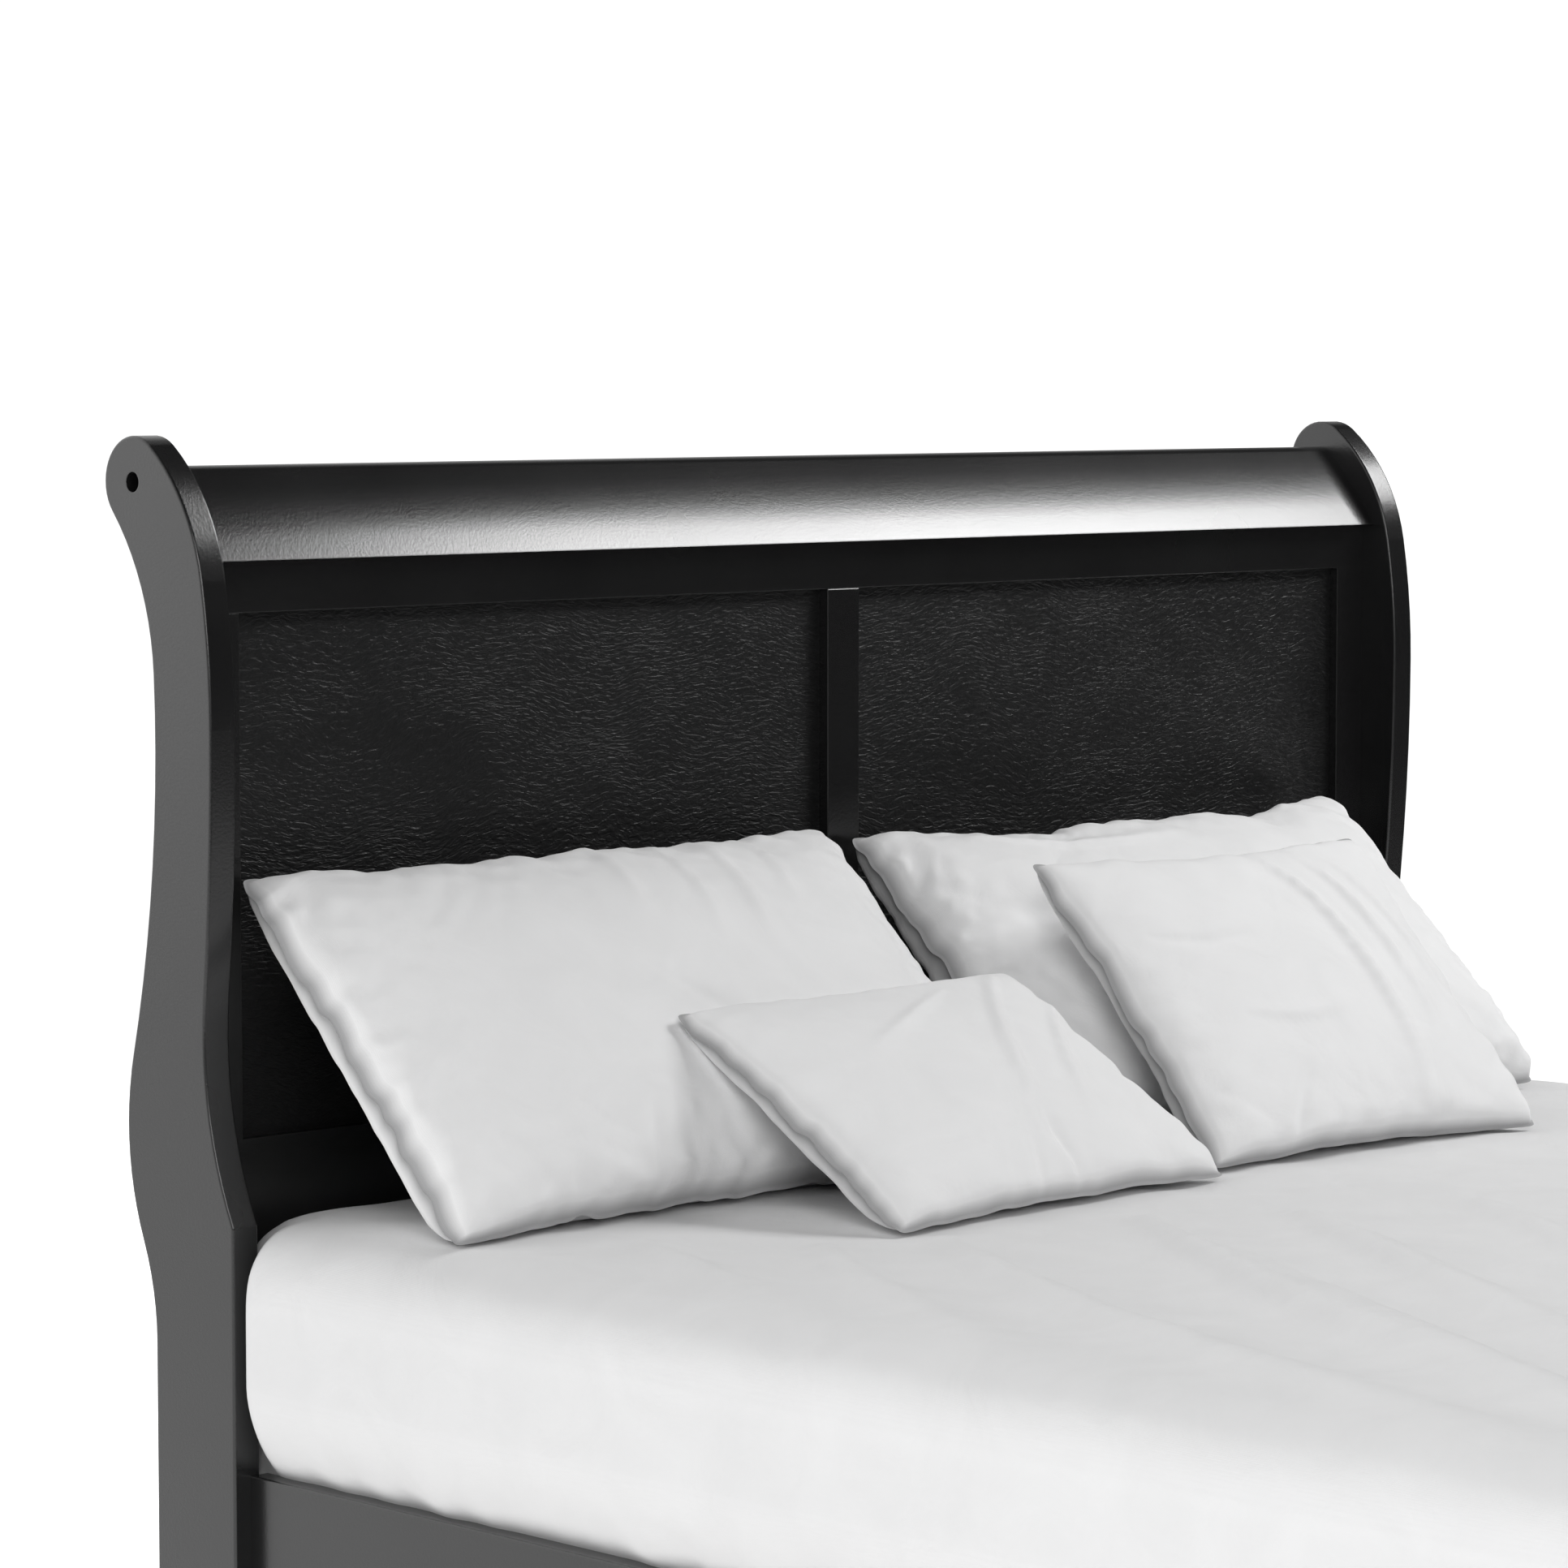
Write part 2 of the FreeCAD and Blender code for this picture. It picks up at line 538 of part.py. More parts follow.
def post_body(end, name):
    """An S-shaped post board.

    The outline runs up the front of the leg, over the belly to the scroll and down the back through the waist and
    the swell. Each curve is an arc that meets the next without a corner; only the knee, where the leg starts, has
    one. Two arcs, the shoulder and the neck, take the radius that lets them meet the scroll.
    """
    top = HEIGHT[end] - glide
    shape = {part: size(f"{end}_{part}") for part in (
        "belly_drop", "shoulder_rise", "shoulder_radius", "belly_radius", "knee_drop", "knee_radius",
        "waist_drop", "waist_rise", "waist_radius", "bulge_depth", "bulge_radius", "heel_radius")}
    number = {part: length.value for part, length in shape.items()}
    crest, depth = top.value, size("post_depth").value
    roll = size("scroll_radius").value
    scroll = Vector(size("scroll_set").value, crest - roll, 0)

    belly_height = crest - number["belly_drop"]
    belly = Vector(size("belly_set").value, belly_height, 0)
    upper = Vector(belly.x + number["shoulder_radius"], belly_height, 0)
    lower = Vector(belly.x + number["belly_radius"], belly_height, 0)
    rise = number["shoulder_rise"]
    shoulder_foot = Vector(upper.x - math.sqrt(number["shoulder_radius"] ** 2 - rise ** 2), belly_height + rise, 0)
    inward = (upper - shoulder_foot).normalize()
    offset = shoulder_foot - scroll
    shoulder_radius = (roll ** 2 - offset.Length ** 2) / (2 * (inward.dot(offset) + roll))
    shoulder = shoulder_foot + inward * shoulder_radius
    scroll_front = along(scroll, scroll * 2 - shoulder, roll)

    knee = Vector(0, crest - number["knee_drop"], 0)
    hollow = meeting(knee, number["knee_radius"], lower, number["belly_radius"] + number["knee_radius"], True)
    hollow_top = along(lower, hollow, number["belly_radius"])

    waist = Vector(size("waist_depth").value + number["waist_radius"], crest - number["waist_drop"], 0)
    rise = number["waist_rise"]
    neck_foot = Vector(waist.x - math.sqrt(number["waist_radius"] ** 2 - rise ** 2), waist.y + rise, 0)
    outward = (waist - neck_foot).normalize()
    offset = neck_foot - scroll
    neck_radius = (offset.Length ** 2 - roll ** 2) / (2 * (roll - outward.dot(offset)))
    neck = neck_foot + outward * neck_radius
    scroll_back = along(scroll, neck, roll)

    swell_x = number["bulge_depth"] - number["bulge_radius"]
    reach_down = math.sqrt((number["waist_radius"] + number["bulge_radius"]) ** 2 - (waist.x - swell_x) ** 2)
    swell = Vector(swell_x, waist.y - reach_down, 0)
    waist_foot = along(waist, swell, number["waist_radius"])
    heel_x = depth + number["heel_radius"]
    reach_down = math.sqrt((number["heel_radius"] + number["bulge_radius"]) ** 2 - (heel_x - swell_x) ** 2)
    heel = Vector(heel_x, swell.y - reach_down, 0)
    swell_foot = along(swell, heel, number["bulge_radius"])

    body = doc.addObject("PartDesign::Body", name)
    sketch = new_sketch(body, "YZ_Plane", f"{name}_outline")
    edge = Outline(sketch, Vector(0, 0, 0))
    front = edge.line_to(knee)
    hollow_arc = edge.arc_to(hollow_top, hollow, smooth=False)
    belly_arc = edge.arc_to(belly, lower)
    upper_arc = edge.arc_to(shoulder_foot, upper)
    shoulder_arc = edge.arc_to(scroll_front, shoulder)
    scroll_arc = edge.arc_to(scroll_back, scroll)
    neck_arc = edge.arc_to(neck_foot, neck)
    waist_arc = edge.arc_to(waist_foot, waist)
    swell_arc = edge.arc_to(swell_foot, swell)
    heel_arc = edge.arc_to(Vector(depth, heel.y, 0), heel)
    back = edge.line_to(Vector(depth, 0, 0), smooth=True)
    edge.line_to(Vector(0, 0, 0))
    edge.close()

    edge.hold(front, 1, 0, 0)
    edge.hold(front, 2, 0, top - shape["knee_drop"])
    edge.hold(back, 2, size("post_depth"), 0)
    edge.hold(back, 1, size("post_depth"))
    edge.radius(hollow_arc, shape["knee_radius"])
    edge.radius(belly_arc, shape["belly_radius"])
    edge.hold(belly_arc, 3, up=top - shape["belly_drop"])
    edge.radius(upper_arc, shape["shoulder_radius"])
    edge.hold(upper_arc, 3, size("belly_set") + shape["shoulder_radius"], top - shape["belly_drop"])
    edge.hold(shoulder_arc, 2, up=top - shape["belly_drop"] + shape["shoulder_rise"])
    edge.radius(scroll_arc, size("scroll_radius"))
    edge.hold(scroll_arc, 3, size("scroll_set"), top - size("scroll_radius"))
    edge.hold(neck_arc, 2, up=top - shape["waist_drop"] + shape["waist_rise"])
    edge.radius(waist_arc, shape["waist_radius"])
    edge.hold(waist_arc, 3, size("waist_depth") + shape["waist_radius"], top - shape["waist_drop"])
    edge.radius(swell_arc, shape["bulge_radius"])
    edge.hold(swell_arc, 3, shape["bulge_depth"] - shape["bulge_radius"])
    edge.radius(heel_arc, shape["heel_radius"])

    pad = body.newObject("PartDesign::Pad", f"{name}_pad")
    pad.Profile = sketch
    bind(pad, Length=thickness)
    corner = soften(body, pad, f"{name}_knee", size("knee_round"), lambda box: (
        box.XLength > NEAR and abs(box.ZMin - knee.y) < NEAR and abs(box.YMin) < NEAR))
    soften(body, corner, f"{name}_round", size("edge_round"), lambda box: box.XLength < NEAR < box.ZLength)
    return body


for end in ENDS:
    for side in SIDES:
        tag = f"{end}_{side_name(end, side)}"
        body = place(post_body(end, f"{tag}_board"), end, low_edge(side, gap / 2, thickness), 0, glide)
        name = f"{end}_post_{side_name(end, side)}"
        piece(cut(name, body, access[tag], cap_screws, frame_dowels, floor_glides), name)

# ---------------------------------------------------------------- framed panels between the posts


def cap_rail_body(end, name):
    """The moulded cap rail.

    Its front swells from a thin lip up to a rolled top, its back is hollow, and a groove underneath takes the
    tongue of the top rail.
    """
    underside = HEIGHT[end] - size("cap_bottom_drop")
    roll, base = size("cap_roll_radius").value, underside.value
    roll_height = HEIGHT[end] - size("cap_drop") - size("cap_roll_radius")
    crown = Vector(size("scroll_set").value, roll_height.value, 0)
    lip_at = frame_front - size("cap_lip")
    heel_at = frame_back + size("cap_lip")
    lip, heel = Vector(lip_at.value, base, 0), Vector(heel_at.value, base, 0)
    face_radius, back_radius = size("cap_face_radius").value, size("cap_back_radius").value
    face = meeting(lip, face_radius, crown, face_radius - roll, False)
    hollow = meeting(heel, back_radius, crown, back_radius + roll, False)
    groove_sides = [frame_middle - size("tongue_thickness") / 2, frame_middle + size("tongue_thickness") / 2]
    groove_top = underside + size("tongue_height")

    body = doc.addObject("PartDesign::Body", name)
    sketch = new_sketch(body, "YZ_Plane", f"{name}_outline")
    edge = Outline(sketch, lip)
    face_arc = edge.arc_to(along(crown, crown * 2 - face, roll), face)
    roll_arc = edge.arc_to(along(crown, hollow, roll), crown)
    back_arc = edge.arc_to(heel, hollow)
    edge.hold(face_arc, edge.ends[0][1], lip_at, underside)
    edge.radius(face_arc, size("cap_face_radius"))
    edge.radius(roll_arc, size("cap_roll_radius"))
    edge.hold(roll_arc, 3, size("scroll_set"), roll_height)
    edge.radius(back_arc, size("cap_back_radius"))
    edge.hold(back_arc, edge.ends[-1][2], heel_at, underside)
    corners = [(groove_sides[1], underside), (groove_sides[1], groove_top), (groove_sides[0], groove_top),
               (groove_sides[0], underside)]
    for across, up in corners:
        edge.hold(edge.line_to(Vector(across.value, up.value, 0)), 2, across, up)
    edge.line_to(lip)
    edge.close()
    pad = body.newObject("PartDesign::Pad", f"{name}_pad")
    pad.Profile = sketch
    bind(pad, Length=gap)
    return body


def eased(name, base, radius, chosen):
    """Ease the edges that a test picks out."""
    doc.recompute()
    ease = doc.addObject("Part::Fillet", name)
    ease.Base = base
    edges = enumerate(base.Shape.Edges, 1)
    ease.Edges = [(index, radius, radius) for index, edge in edges if chosen(edge.BoundBox)]
    return ease


EDGE_EASE = 1.0

for end in ENDS:
    low, high = BOTTOM_RAIL_TOP[end], top_rail_low(end)
    cap_low = HEIGHT[end] - size("cap_bottom_drop")
    opening = high - low
    tongue = [frame_middle - size("tongue_thickness") / 2, frame_middle + size("tongue_thickness") / 2]

    name = f"{end}_cap_rail"
    cap = place(cap_rail_body(end, f"{name}_moulding"), end, -gap / 2)
    piece(cut(name, cap, cap_screws), name)

    name = f"{end}_top_rail"
    rail = profile(f"{name}_board", "YZ_Plane", [
        (frame_front, high), (frame_front, cap_low), (tongue[0], cap_low),
        (tongue[0], cap_low + size("tongue_height")), (tongue[1], cap_low + size("tongue_height")),
        (tongue[1], cap_low), (frame_back, cap_low), (frame_back, high), (panel_back, high),
        (panel_back, high + groove), (panel_front, high + groove), (panel_front, high)], gap)
    piece(cut(name, place(rail, end, -gap / 2), frame_dowels), name)

    name = f"{end}_bottom_rail"
    rail = profile(f"{name}_board", "YZ_Plane", [
        (frame_front, rail_bottom), (frame_front, low), (panel_front, low), (panel_front, low - groove),
        (panel_back, low - groove), (panel_back, low), (frame_back, low), (frame_back, rail_bottom)], gap)
    piece(cut(name, place(rail, end, -gap / 2), frame_dowels, hanger_screws), name)

    stile_inner = gap / 2 - size("stile_width")
    for side in SIDES:
        name = f"{end}_stile_{side_name(end, side)}"
        grooved = profile(f"{name}_board", "XY_Plane", [
            (gap / 2 * side, frame_front), (stile_inner * side, frame_front), (stile_inner * side, panel_front),
            ((stile_inner + groove) * side, panel_front), ((stile_inner + groove) * side, panel_back),
            (stile_inner * side, panel_back), (stile_inner * side, frame_back), (gap / 2 * side, frame_back)],
            opening)
        tenon_low = low_edge(side, stile_inner + groove, size("stile_width") - groove)
        tenon = end_board(f"{name}_tenon", end, (tenon_low, panel_front, low - groove),
                          (size("stile_width") - groove, size("panel_thickness"), opening + groove * 2))
        piece(joined(name, [place(grooved, end, 0, 0, low), tenon]), name)

    name = f"{end}_centre_stile"
    half = size("centre_stile_width") / 2
    proud = frame_front - size("centre_stile_proud")
    grooved = profile(f"{name}_board", "XY_Plane", [
        (-half, proud), (half, proud), (half, panel_front), (half - groove, panel_front),
        (half - groove, panel_back), (half, panel_back), (half, frame_back), (-half, frame_back),
        (-half, panel_back), (groove - half, panel_back), (groove - half, panel_front), (-half, panel_front)],
        opening)
    tenon = end_board(f"{name}_tenon", end, (groove - half, panel_front, low - groove),
                      ((half - groove) * 2, size("panel_thickness"), opening + groove * 2))
    placed = place(grooved, end, 0, 0, low)
    turn = 1 if end == "head" else -1
    proud_face = (reach + proud).value * turn
    soft = eased(f"{name}_eased", placed, EDGE_EASE, lambda box: (
        box.YLength < NEAR and abs(box.YMin - proud_face) < NEAR))
    piece(joined(name, [soft, tenon]), name)

    for side in SIDES:
        name = f"{end}_panel_{side_name(end, side)}"
        panel_width = stile_inner - half + panel_grip * 2
        piece(end_board(name, end, (low_edge(side, half - panel_grip, panel_width), panel_front, low - panel_grip),
                        (panel_width, size("panel_thickness"), opening + panel_grip * 2)), name)

# ---------------------------------------------------------------- side rails and what holds them

for side in SIDES:
    hand = "left" if side < 0 else "right"
    name = f"side_rail_{hand}"
    rail = board(f"{name}_board", (low_edge(side, rail_inner, size("rail_thickness")), -reach, rail_bottom),
                 (size("rail_thickness"), size("side_rail_length"), size("rail_height")))
    soft = eased(f"{name}_eased", rail, EDGE_EASE * 2, lambda box: box.YLength > 100)
    piece(cut(name, soft, bracket_screws), name)

    name = f"slat_ledge_{hand}"
    ledge_inner = rail_inner - size("ledge_thickness")
    ledge = board(f"{name}_board", (low_edge(side, ledge_inner, size("ledge_thickness")), -reach, ledge_bottom),
                  (size("ledge_thickness"), size("side_rail_length"), size("ledge_height")))
    piece(cut(name, ledge, slat_screws), name)

bracket_parts = []
for end in ENDS:
    for side in SIDES:
        name = f"corner_block_{end}_{side_name(end, side)}"
        block_inner = gap / 2 - size("block_width")
        block = end_board(f"{name}_board", end, (low_edge(side, block_inner, size("block_width")), 0, rail_bottom),
                          (size("block_width"), frame_front, rail_top - size("block_drop") - rail_bottom))
        piece(cut(name, block, bracket_bolts), name)

        inner, leg = rail_inner, size("bracket_leg")
        flange = size("block_width") - size("bracket_margin")
        bracket = profile(f"bracket_{end}_{side_name(end, side)}", "XY_Plane", [
            (inner * side, -leg), (inner * side, 0), ((inner - flange) * side, 0),
            ((inner - flange) * side, -sheet_metal), ((inner - sheet_metal) * side, -sheet_metal),
            ((inner - sheet_metal) * side, -leg)], size("bracket_height"))
        bracket_parts.append(place(bracket, end, 0, 0, bracket_low))
piece(cut("corner_bracket", joined("bracket_blanks", bracket_parts), bracket_bolts, bracket_screws),
      "corner_brackets")

# ---------------------------------------------------------------- slatted base

for number, middle in enumerate(slat_middles, 1):
    name = f"slat_{number:02d}"
    half_length = rail_inner - size("slat_play")
    slat = board(f"{name}_board", (-half_length, middle - size("slat_width") / 2, slat_bottom),
                 (half_length * 2, size("slat_width"), size("slat_thickness")))
    piece(cut(name, slat, slat_screws), name)

beam_half = size("beam_width") / 2
beam_end = reach + frame_front - hanger_metal
beam = board("beam_board", (-beam_half, -beam_end, beam_bottom),
             (beam_half * 2, beam_end * 2, size("beam_height")))
piece(cut("centre_beam", beam, frame_dowels), "centre_beam")

hanger_parts = []
for end in ENDS:
    wrap = beam_half + hanger_metal
    plate = end_board(f"hanger_plate_{end}", end,
                      (-(wrap + HANGER_EAR), frame_front - hanger_metal, beam_bottom - hanger_metal),
                      ((wrap + HANGER_EAR) * 2, hanger_metal, size("beam_height") + hanger_metal))
    seat = end_board(f"hanger_seat_{end}", end,
                     (-wrap, frame_front - size("hanger_depth"), beam_bottom - hanger_metal),
                     (wrap * 2, size("hanger_depth"), hanger_metal))
    cheeks = [end_board(f"hanger_cheek_{end}_{number}", end,
                        (low_edge(side, beam_half, hanger_metal), frame_front - size("hanger_depth"), beam_bottom),
                        (hanger_metal, size("hanger_depth"), size("beam_height")))
              for number, side in enumerate(SIDES)]
    hanger_parts += [plate, seat, *cheeks]
piece(cut("beam_hanger", joined("hanger_blanks", hanger_parts), hanger_screws), "beam_hangers")

for number, leg_y in enumerate(leg_places, 1):
    name = f"support_leg_{number}"
    half = size("leg_size") / 2
    leg = board(f"{name}_board", (-half, leg_y - half, glide), (half * 2, half * 2, beam_bottom - glide))
    piece(cut(name, leg, frame_dowels, floor_glides), name)

# ---------------------------------------------------------------- mattress, sheet, pillows and cushions

soft_gap = size("soft_gap")
mattress_low = slat_top + soft_gap
mattress_head = reach + frame_front - size("mattress_end_play")
mattress_foot = size("cap_lip") + size("mattress_end_play") - reach - frame_front


def rounded_block(name, grow, low, high):
    """A block the size of the mattress, grown all round, with round upright corners and a round top edge."""
    half_width = gap / 2 - size("mattress_side_play") + grow
    block = board(f"{name}_block", (-half_width, mattress_foot - grow, low),
                  (half_width * 2, mattress_head - mattress_foot + grow * 2, high - low))
    corner, crown = size("mattress_corner").value, size("mattress_crown").value
    top = high.value
    upright = eased(f"{name}_corners", block, corner, lambda box: box.ZLength > 100)
    return eased(name, upright, crown, lambda box: box.ZLength < NEAR and abs(box.ZMin - top) < NEAR)


mattress_high = mattress_low + size("mattress_height")
piece(rounded_block("mattress", as_length(0), mattress_low, mattress_high), "mattress")
hem = mattress_low + size("sheet_hem")
sheet_inside = rounded_block("sheet_inside", soft_gap, hem - 1, mattress_high + soft_gap)
sheet_grow = soft_gap + size("sheet_thickness")
sheet_outside = rounded_block("sheet_outside", sheet_grow, hem, mattress_high + sheet_grow)
piece(cut("fitted_sheet", sheet_outside, sheet_inside), "fitted_sheet")
bed_top = mattress_high + sheet_grow


def lens(name, length, thickness, depth):
    """A shallow lens with blunt ends on the XY plane, padded to a depth either side of it."""
    half, bulge, blunt = length / 2, thickness / 2, size("seam_thickness") / 2
    rise = bulge - blunt
    radius = (half * half + rise * rise) / (rise * 2)
    body = doc.addObject("PartDesign::Body", name)
    sketch = new_sketch(body, "XY_Plane", f"{name}_outline")
    corners = [(half * across, blunt * up) for across, up in ((-1, -1), (1, -1), (1, 1), (-1, 1))]
    points = [Vector(across.value, up.value, 0) for across, up in corners]
    offset = radius.value - bulge.value
    edge = Outline(sketch, points[0])
    front = edge.arc_to(points[1], Vector(0, offset, 0), smooth=False)
    edge.line_to(points[2])
    back = edge.arc_to(points[3], Vector(0, -offset, 0), smooth=False)
    edge.line_to(points[0])
    edge.close()
    for (index, first, _), (across, up) in zip(edge.ends, corners):
        edge.hold(index, first, across, up)
    edge.radius(front, radius)
    edge.radius(back, radius)
    pad = body.newObject("PartDesign::Pad", f"{name}_pad")
    pad.Profile, pad.Midplane = sketch, True
    bind(pad, Length=depth)
    return body


# Each cushion is two crossed lenses, leaning back from its lower edge, which lies on the sheet.
for name in CUSHIONS:
    width, height, thick, middle, setback, lean, turn = (size(f"{name}_{part}") for part in CUSHION_SIZES)
    across = lens(f"{name}_across", width, thick, height)
    upright = lens(f"{name}_upright", height, thick, width)
    upright.Placement.Rotation = Rotation(Vector(0, 1, 0), 90)
    cushion = doc.addObject("Part::Common", name)
    cushion.Base, cushion.Tool = across, upright
    lean_angle, turn_angle = math.radians(lean.value), math.radians(turn.value)
    cushion.Placement.Rotation = (Rotation(Vector(0, 0, 1), turn.value)
                                  .multiply(Rotation(Vector(1, 0, 0), -lean.value)))
    back, up = height / 2 * math.sin(lean_angle), height / 2 * math.cos(lean_angle)
    resting = bed_top + soft_gap + size("seam_thickness") / 2 * math.sin(lean_angle)
    move(cushion, middle - back * math.sin(turn_angle), reach - setback + back * math.cos(turn_angle),
         resting + up)
    piece(cushion, name)

# ---------------------------------------------------------------- check and write

doc.recompute()
faults = [thing.Name for thing in doc.Objects if {"Invalid", "Error"} & set(thing.State)]
faults += [thing.Label for thing in pieces if thing.Shape.isNull() or not thing.Shape.isValid()]
if faults:
    raise RuntimeError(f"these did not build: {', '.join(faults)}")

os.makedirs("parts", exist_ok=True)
for thing in pieces:
    thing.Shape.exportStep(os.path.join("parts", f"{thing.Label}.step"))
print(f"wrote {len(pieces)} sub-parts")
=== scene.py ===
import math

import bpy
import numpy as np
from mathutils import Matrix, Vector, noise


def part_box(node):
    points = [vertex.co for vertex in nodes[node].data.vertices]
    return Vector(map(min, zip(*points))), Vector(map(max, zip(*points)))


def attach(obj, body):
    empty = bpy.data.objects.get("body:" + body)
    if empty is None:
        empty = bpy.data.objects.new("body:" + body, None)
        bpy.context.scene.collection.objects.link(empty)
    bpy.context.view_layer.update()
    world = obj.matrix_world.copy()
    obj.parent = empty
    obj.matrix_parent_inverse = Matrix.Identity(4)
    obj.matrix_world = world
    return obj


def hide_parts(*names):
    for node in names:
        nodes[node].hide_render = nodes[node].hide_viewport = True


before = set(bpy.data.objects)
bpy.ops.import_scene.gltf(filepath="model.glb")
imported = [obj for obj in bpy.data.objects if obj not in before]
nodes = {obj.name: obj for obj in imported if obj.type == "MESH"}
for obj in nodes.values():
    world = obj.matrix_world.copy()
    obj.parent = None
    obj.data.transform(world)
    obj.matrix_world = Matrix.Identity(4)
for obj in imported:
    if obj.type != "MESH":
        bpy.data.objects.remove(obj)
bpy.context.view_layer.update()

# ---------------------------------------------------------------- studio

# Not part of the bed: a pale floor, a white surround that is dark behind the viewer and bright behind the
# bed, a long softbox to the right that draws the band of light on the cap rail, and one for the whites.

FLOOR_SIZE, FLOOR_MIDDLE, FLOOR_GLOW = 12, (-3.6, 3.6, -0.0005), 0.6
bpy.ops.mesh.primitive_plane_add(size=FLOOR_SIZE, location=FLOOR_MIDDLE)
floor = bpy.context.object
floor.name = "studio_floor"
floor_paint = bpy.data.materials.new("studio_floor_paint")
floor_paint.use_nodes = True
floor_shader = floor_paint.node_tree.nodes["Principled BSDF"]
floor_shader.inputs["Roughness"].default_value = 0.9
floor_shader.inputs["Base Color"].default_value = (0.85, 0.85, 0.85, 1)
floor_shader.inputs["Specular IOR Level"].default_value = 0.1
floor_shader.inputs["Emission Color"].default_value = (1, 1, 1, 1)
floor_seen = floor_paint.node_tree.nodes.new("ShaderNodeLightPath")
floor_glow = floor_paint.node_tree.nodes.new("ShaderNodeMath")
floor_glow.operation = "MAXIMUM"
floor_glow.inputs[1].default_value = FLOOR_GLOW
floor_paint.node_tree.links.new(floor_seen.outputs["Is Camera Ray"], floor_glow.inputs[0])
floor_paint.node_tree.links.new(floor_glow.outputs["Value"], floor_shader.inputs["Emission Strength"])
floor.data.materials.append(floor_paint)

SURROUND_DARK, SURROUND_LIGHT, BACKDROP = 0.03, 1.35, 1.1
BRIGHT_SIDE, DARK_UP_TO, LIGHT_FROM = (-0.45, 0.88, 0.1), 0.05, 0.8
surround = bpy.data.worlds.new("studio_surround")
bpy.context.scene.world = surround
surround.use_nodes = True
tree = surround.node_tree
background = tree.nodes["Background"]
direction = tree.nodes.new("ShaderNodeTexCoord")
towards = tree.nodes.new("ShaderNodeVectorMath")
towards.operation = "DOT_PRODUCT"
towards.inputs[1].default_value = BRIGHT_SIDE
tree.links.new(direction.outputs["Generated"], towards.inputs[0])
level = tree.nodes.new("ShaderNodeMapRange")
level.inputs["From Min"].default_value = DARK_UP_TO
level.inputs["From Max"].default_value = LIGHT_FROM
level.inputs["To Min"].default_value = SURROUND_DARK
level.inputs["To Max"].default_value = SURROUND_LIGHT
tree.links.new(towards.outputs["Value"], level.inputs["Value"])
seen = tree.nodes.new("ShaderNodeLightPath")
choose = tree.nodes.new("ShaderNodeMix")
choose.inputs["B"].default_value = BACKDROP
tree.links.new(seen.outputs["Is Camera Ray"], choose.inputs["Factor"])
tree.links.new(level.outputs["Result"], choose.inputs["A"])
tree.links.new(choose.outputs["Result"], background.inputs["Strength"])
background.inputs["Color"].default_value = (1, 1, 1, 1)


def softbox(name, place, aim, along, width, height, power):
    """A rectangular area light with its long side along one line and its face towards a spot."""
    side = Vector(along).normalized()
    back = Vector(place) - Vector(aim)
    back = (back - back.dot(side) * side).normalized()
    bpy.ops.object.light_add(type="AREA", location=place)
    lamp = bpy.context.object
    lamp.name = name
    lamp.rotation_euler = Matrix((side, back.cross(side), back)).transposed().to_euler()
    lamp.data.shape = "RECTANGLE"
    lamp.data.size, lamp.data.size_y = width, height
    lamp.data.energy = power


ACROSS_THE_BED, ACROSS_THE_FILL = (1, 0, 0), (0.75, -0.66, 0)
softbox("cap_rail_light", (3.2, -0.72, 3.6), (0.2, 0.9, 1.1), ACROSS_THE_BED, 2.4, 1.6, 165)
softbox("fill_light", (-3.4, -3.8, 2.9), (0, 0.2, 0.6), ACROSS_THE_FILL, 3.0, 3.0, 135)

bpy.context.scene.view_settings.view_transform = "Standard"

# The camera stands to the left of the foot, a little above the headboard, with a long lens.
CAMERA_PLACE, CAMERA_YAW, CAMERA_PITCH, CAMERA_LENS = (-3.243, -2.328, 1.2368), 44.0, 4.512, 122.76
bpy.ops.object.camera_add(location=CAMERA_PLACE,
                          rotation=(math.radians(90 - CAMERA_PITCH), 0, -math.radians(CAMERA_YAW)))
camera = bpy.context.object
camera.name = "studio_camera"
camera.data.lens = CAMERA_LENS
camera.data.sensor_width = 36
camera.data.clip_end = 100
bpy.context.scene.camera = camera

# ---------------------------------------------------------------- posts, rails and stiles

# Boards of hardwood and board, sprayed with satin black lacquer that shows a fine orange-peel. The lacquer is
# thin on the eased edges, where it shines and has begun to wear.

EDGE_WIDTH = 0.0014


def new_material(name, **sockets):
    """A node material, with the shader's own sockets set where a value is the same all over."""
    material = bpy.data.materials.new(name)
    material.use_nodes = True
    shader = material.node_tree.nodes["Principled BSDF"]
    for socket, value in sockets.items():
        shader.inputs[socket.replace("_", " ")].default_value = value
    return material, shader


def add_node(material, kind, inputs, **settings):
    """A shader node whose inputs are values or other nodes' outputs."""
    made = material.node_tree.nodes.new(f"ShaderNode{kind}")
    for setting, value in settings.items():
        setattr(made, setting, value)
    for socket, value in inputs.items():
        if isinstance(value, bpy.types.NodeSocket):
            material.node_tree.links.new(value, made.inputs[socket])
        else:
            made.inputs[socket].default_value = value
    return made


def object_coordinates(material, turn=(0, 0, 0)):
    """Places in the bed's own frame, turned to lie along a slanted piece."""
    place = add_node(material, "TexCoord", {}).outputs["Object"]
    mapping = add_node(material, "Mapping", {"Vector": place, "Rotation": turn}, vector_type="TEXTURE")
    return mapping.outputs["Vector"]


def grains(material, place, scale, detail=2.0, distortion=0.0):
    """A soft noise from 0 to 1."""
    texture = add_node(material, "TexNoise", {"Vector": place, "Scale": scale, "Detail": detail,
                                              "Distortion": distortion})
    return texture.outputs["Fac"]


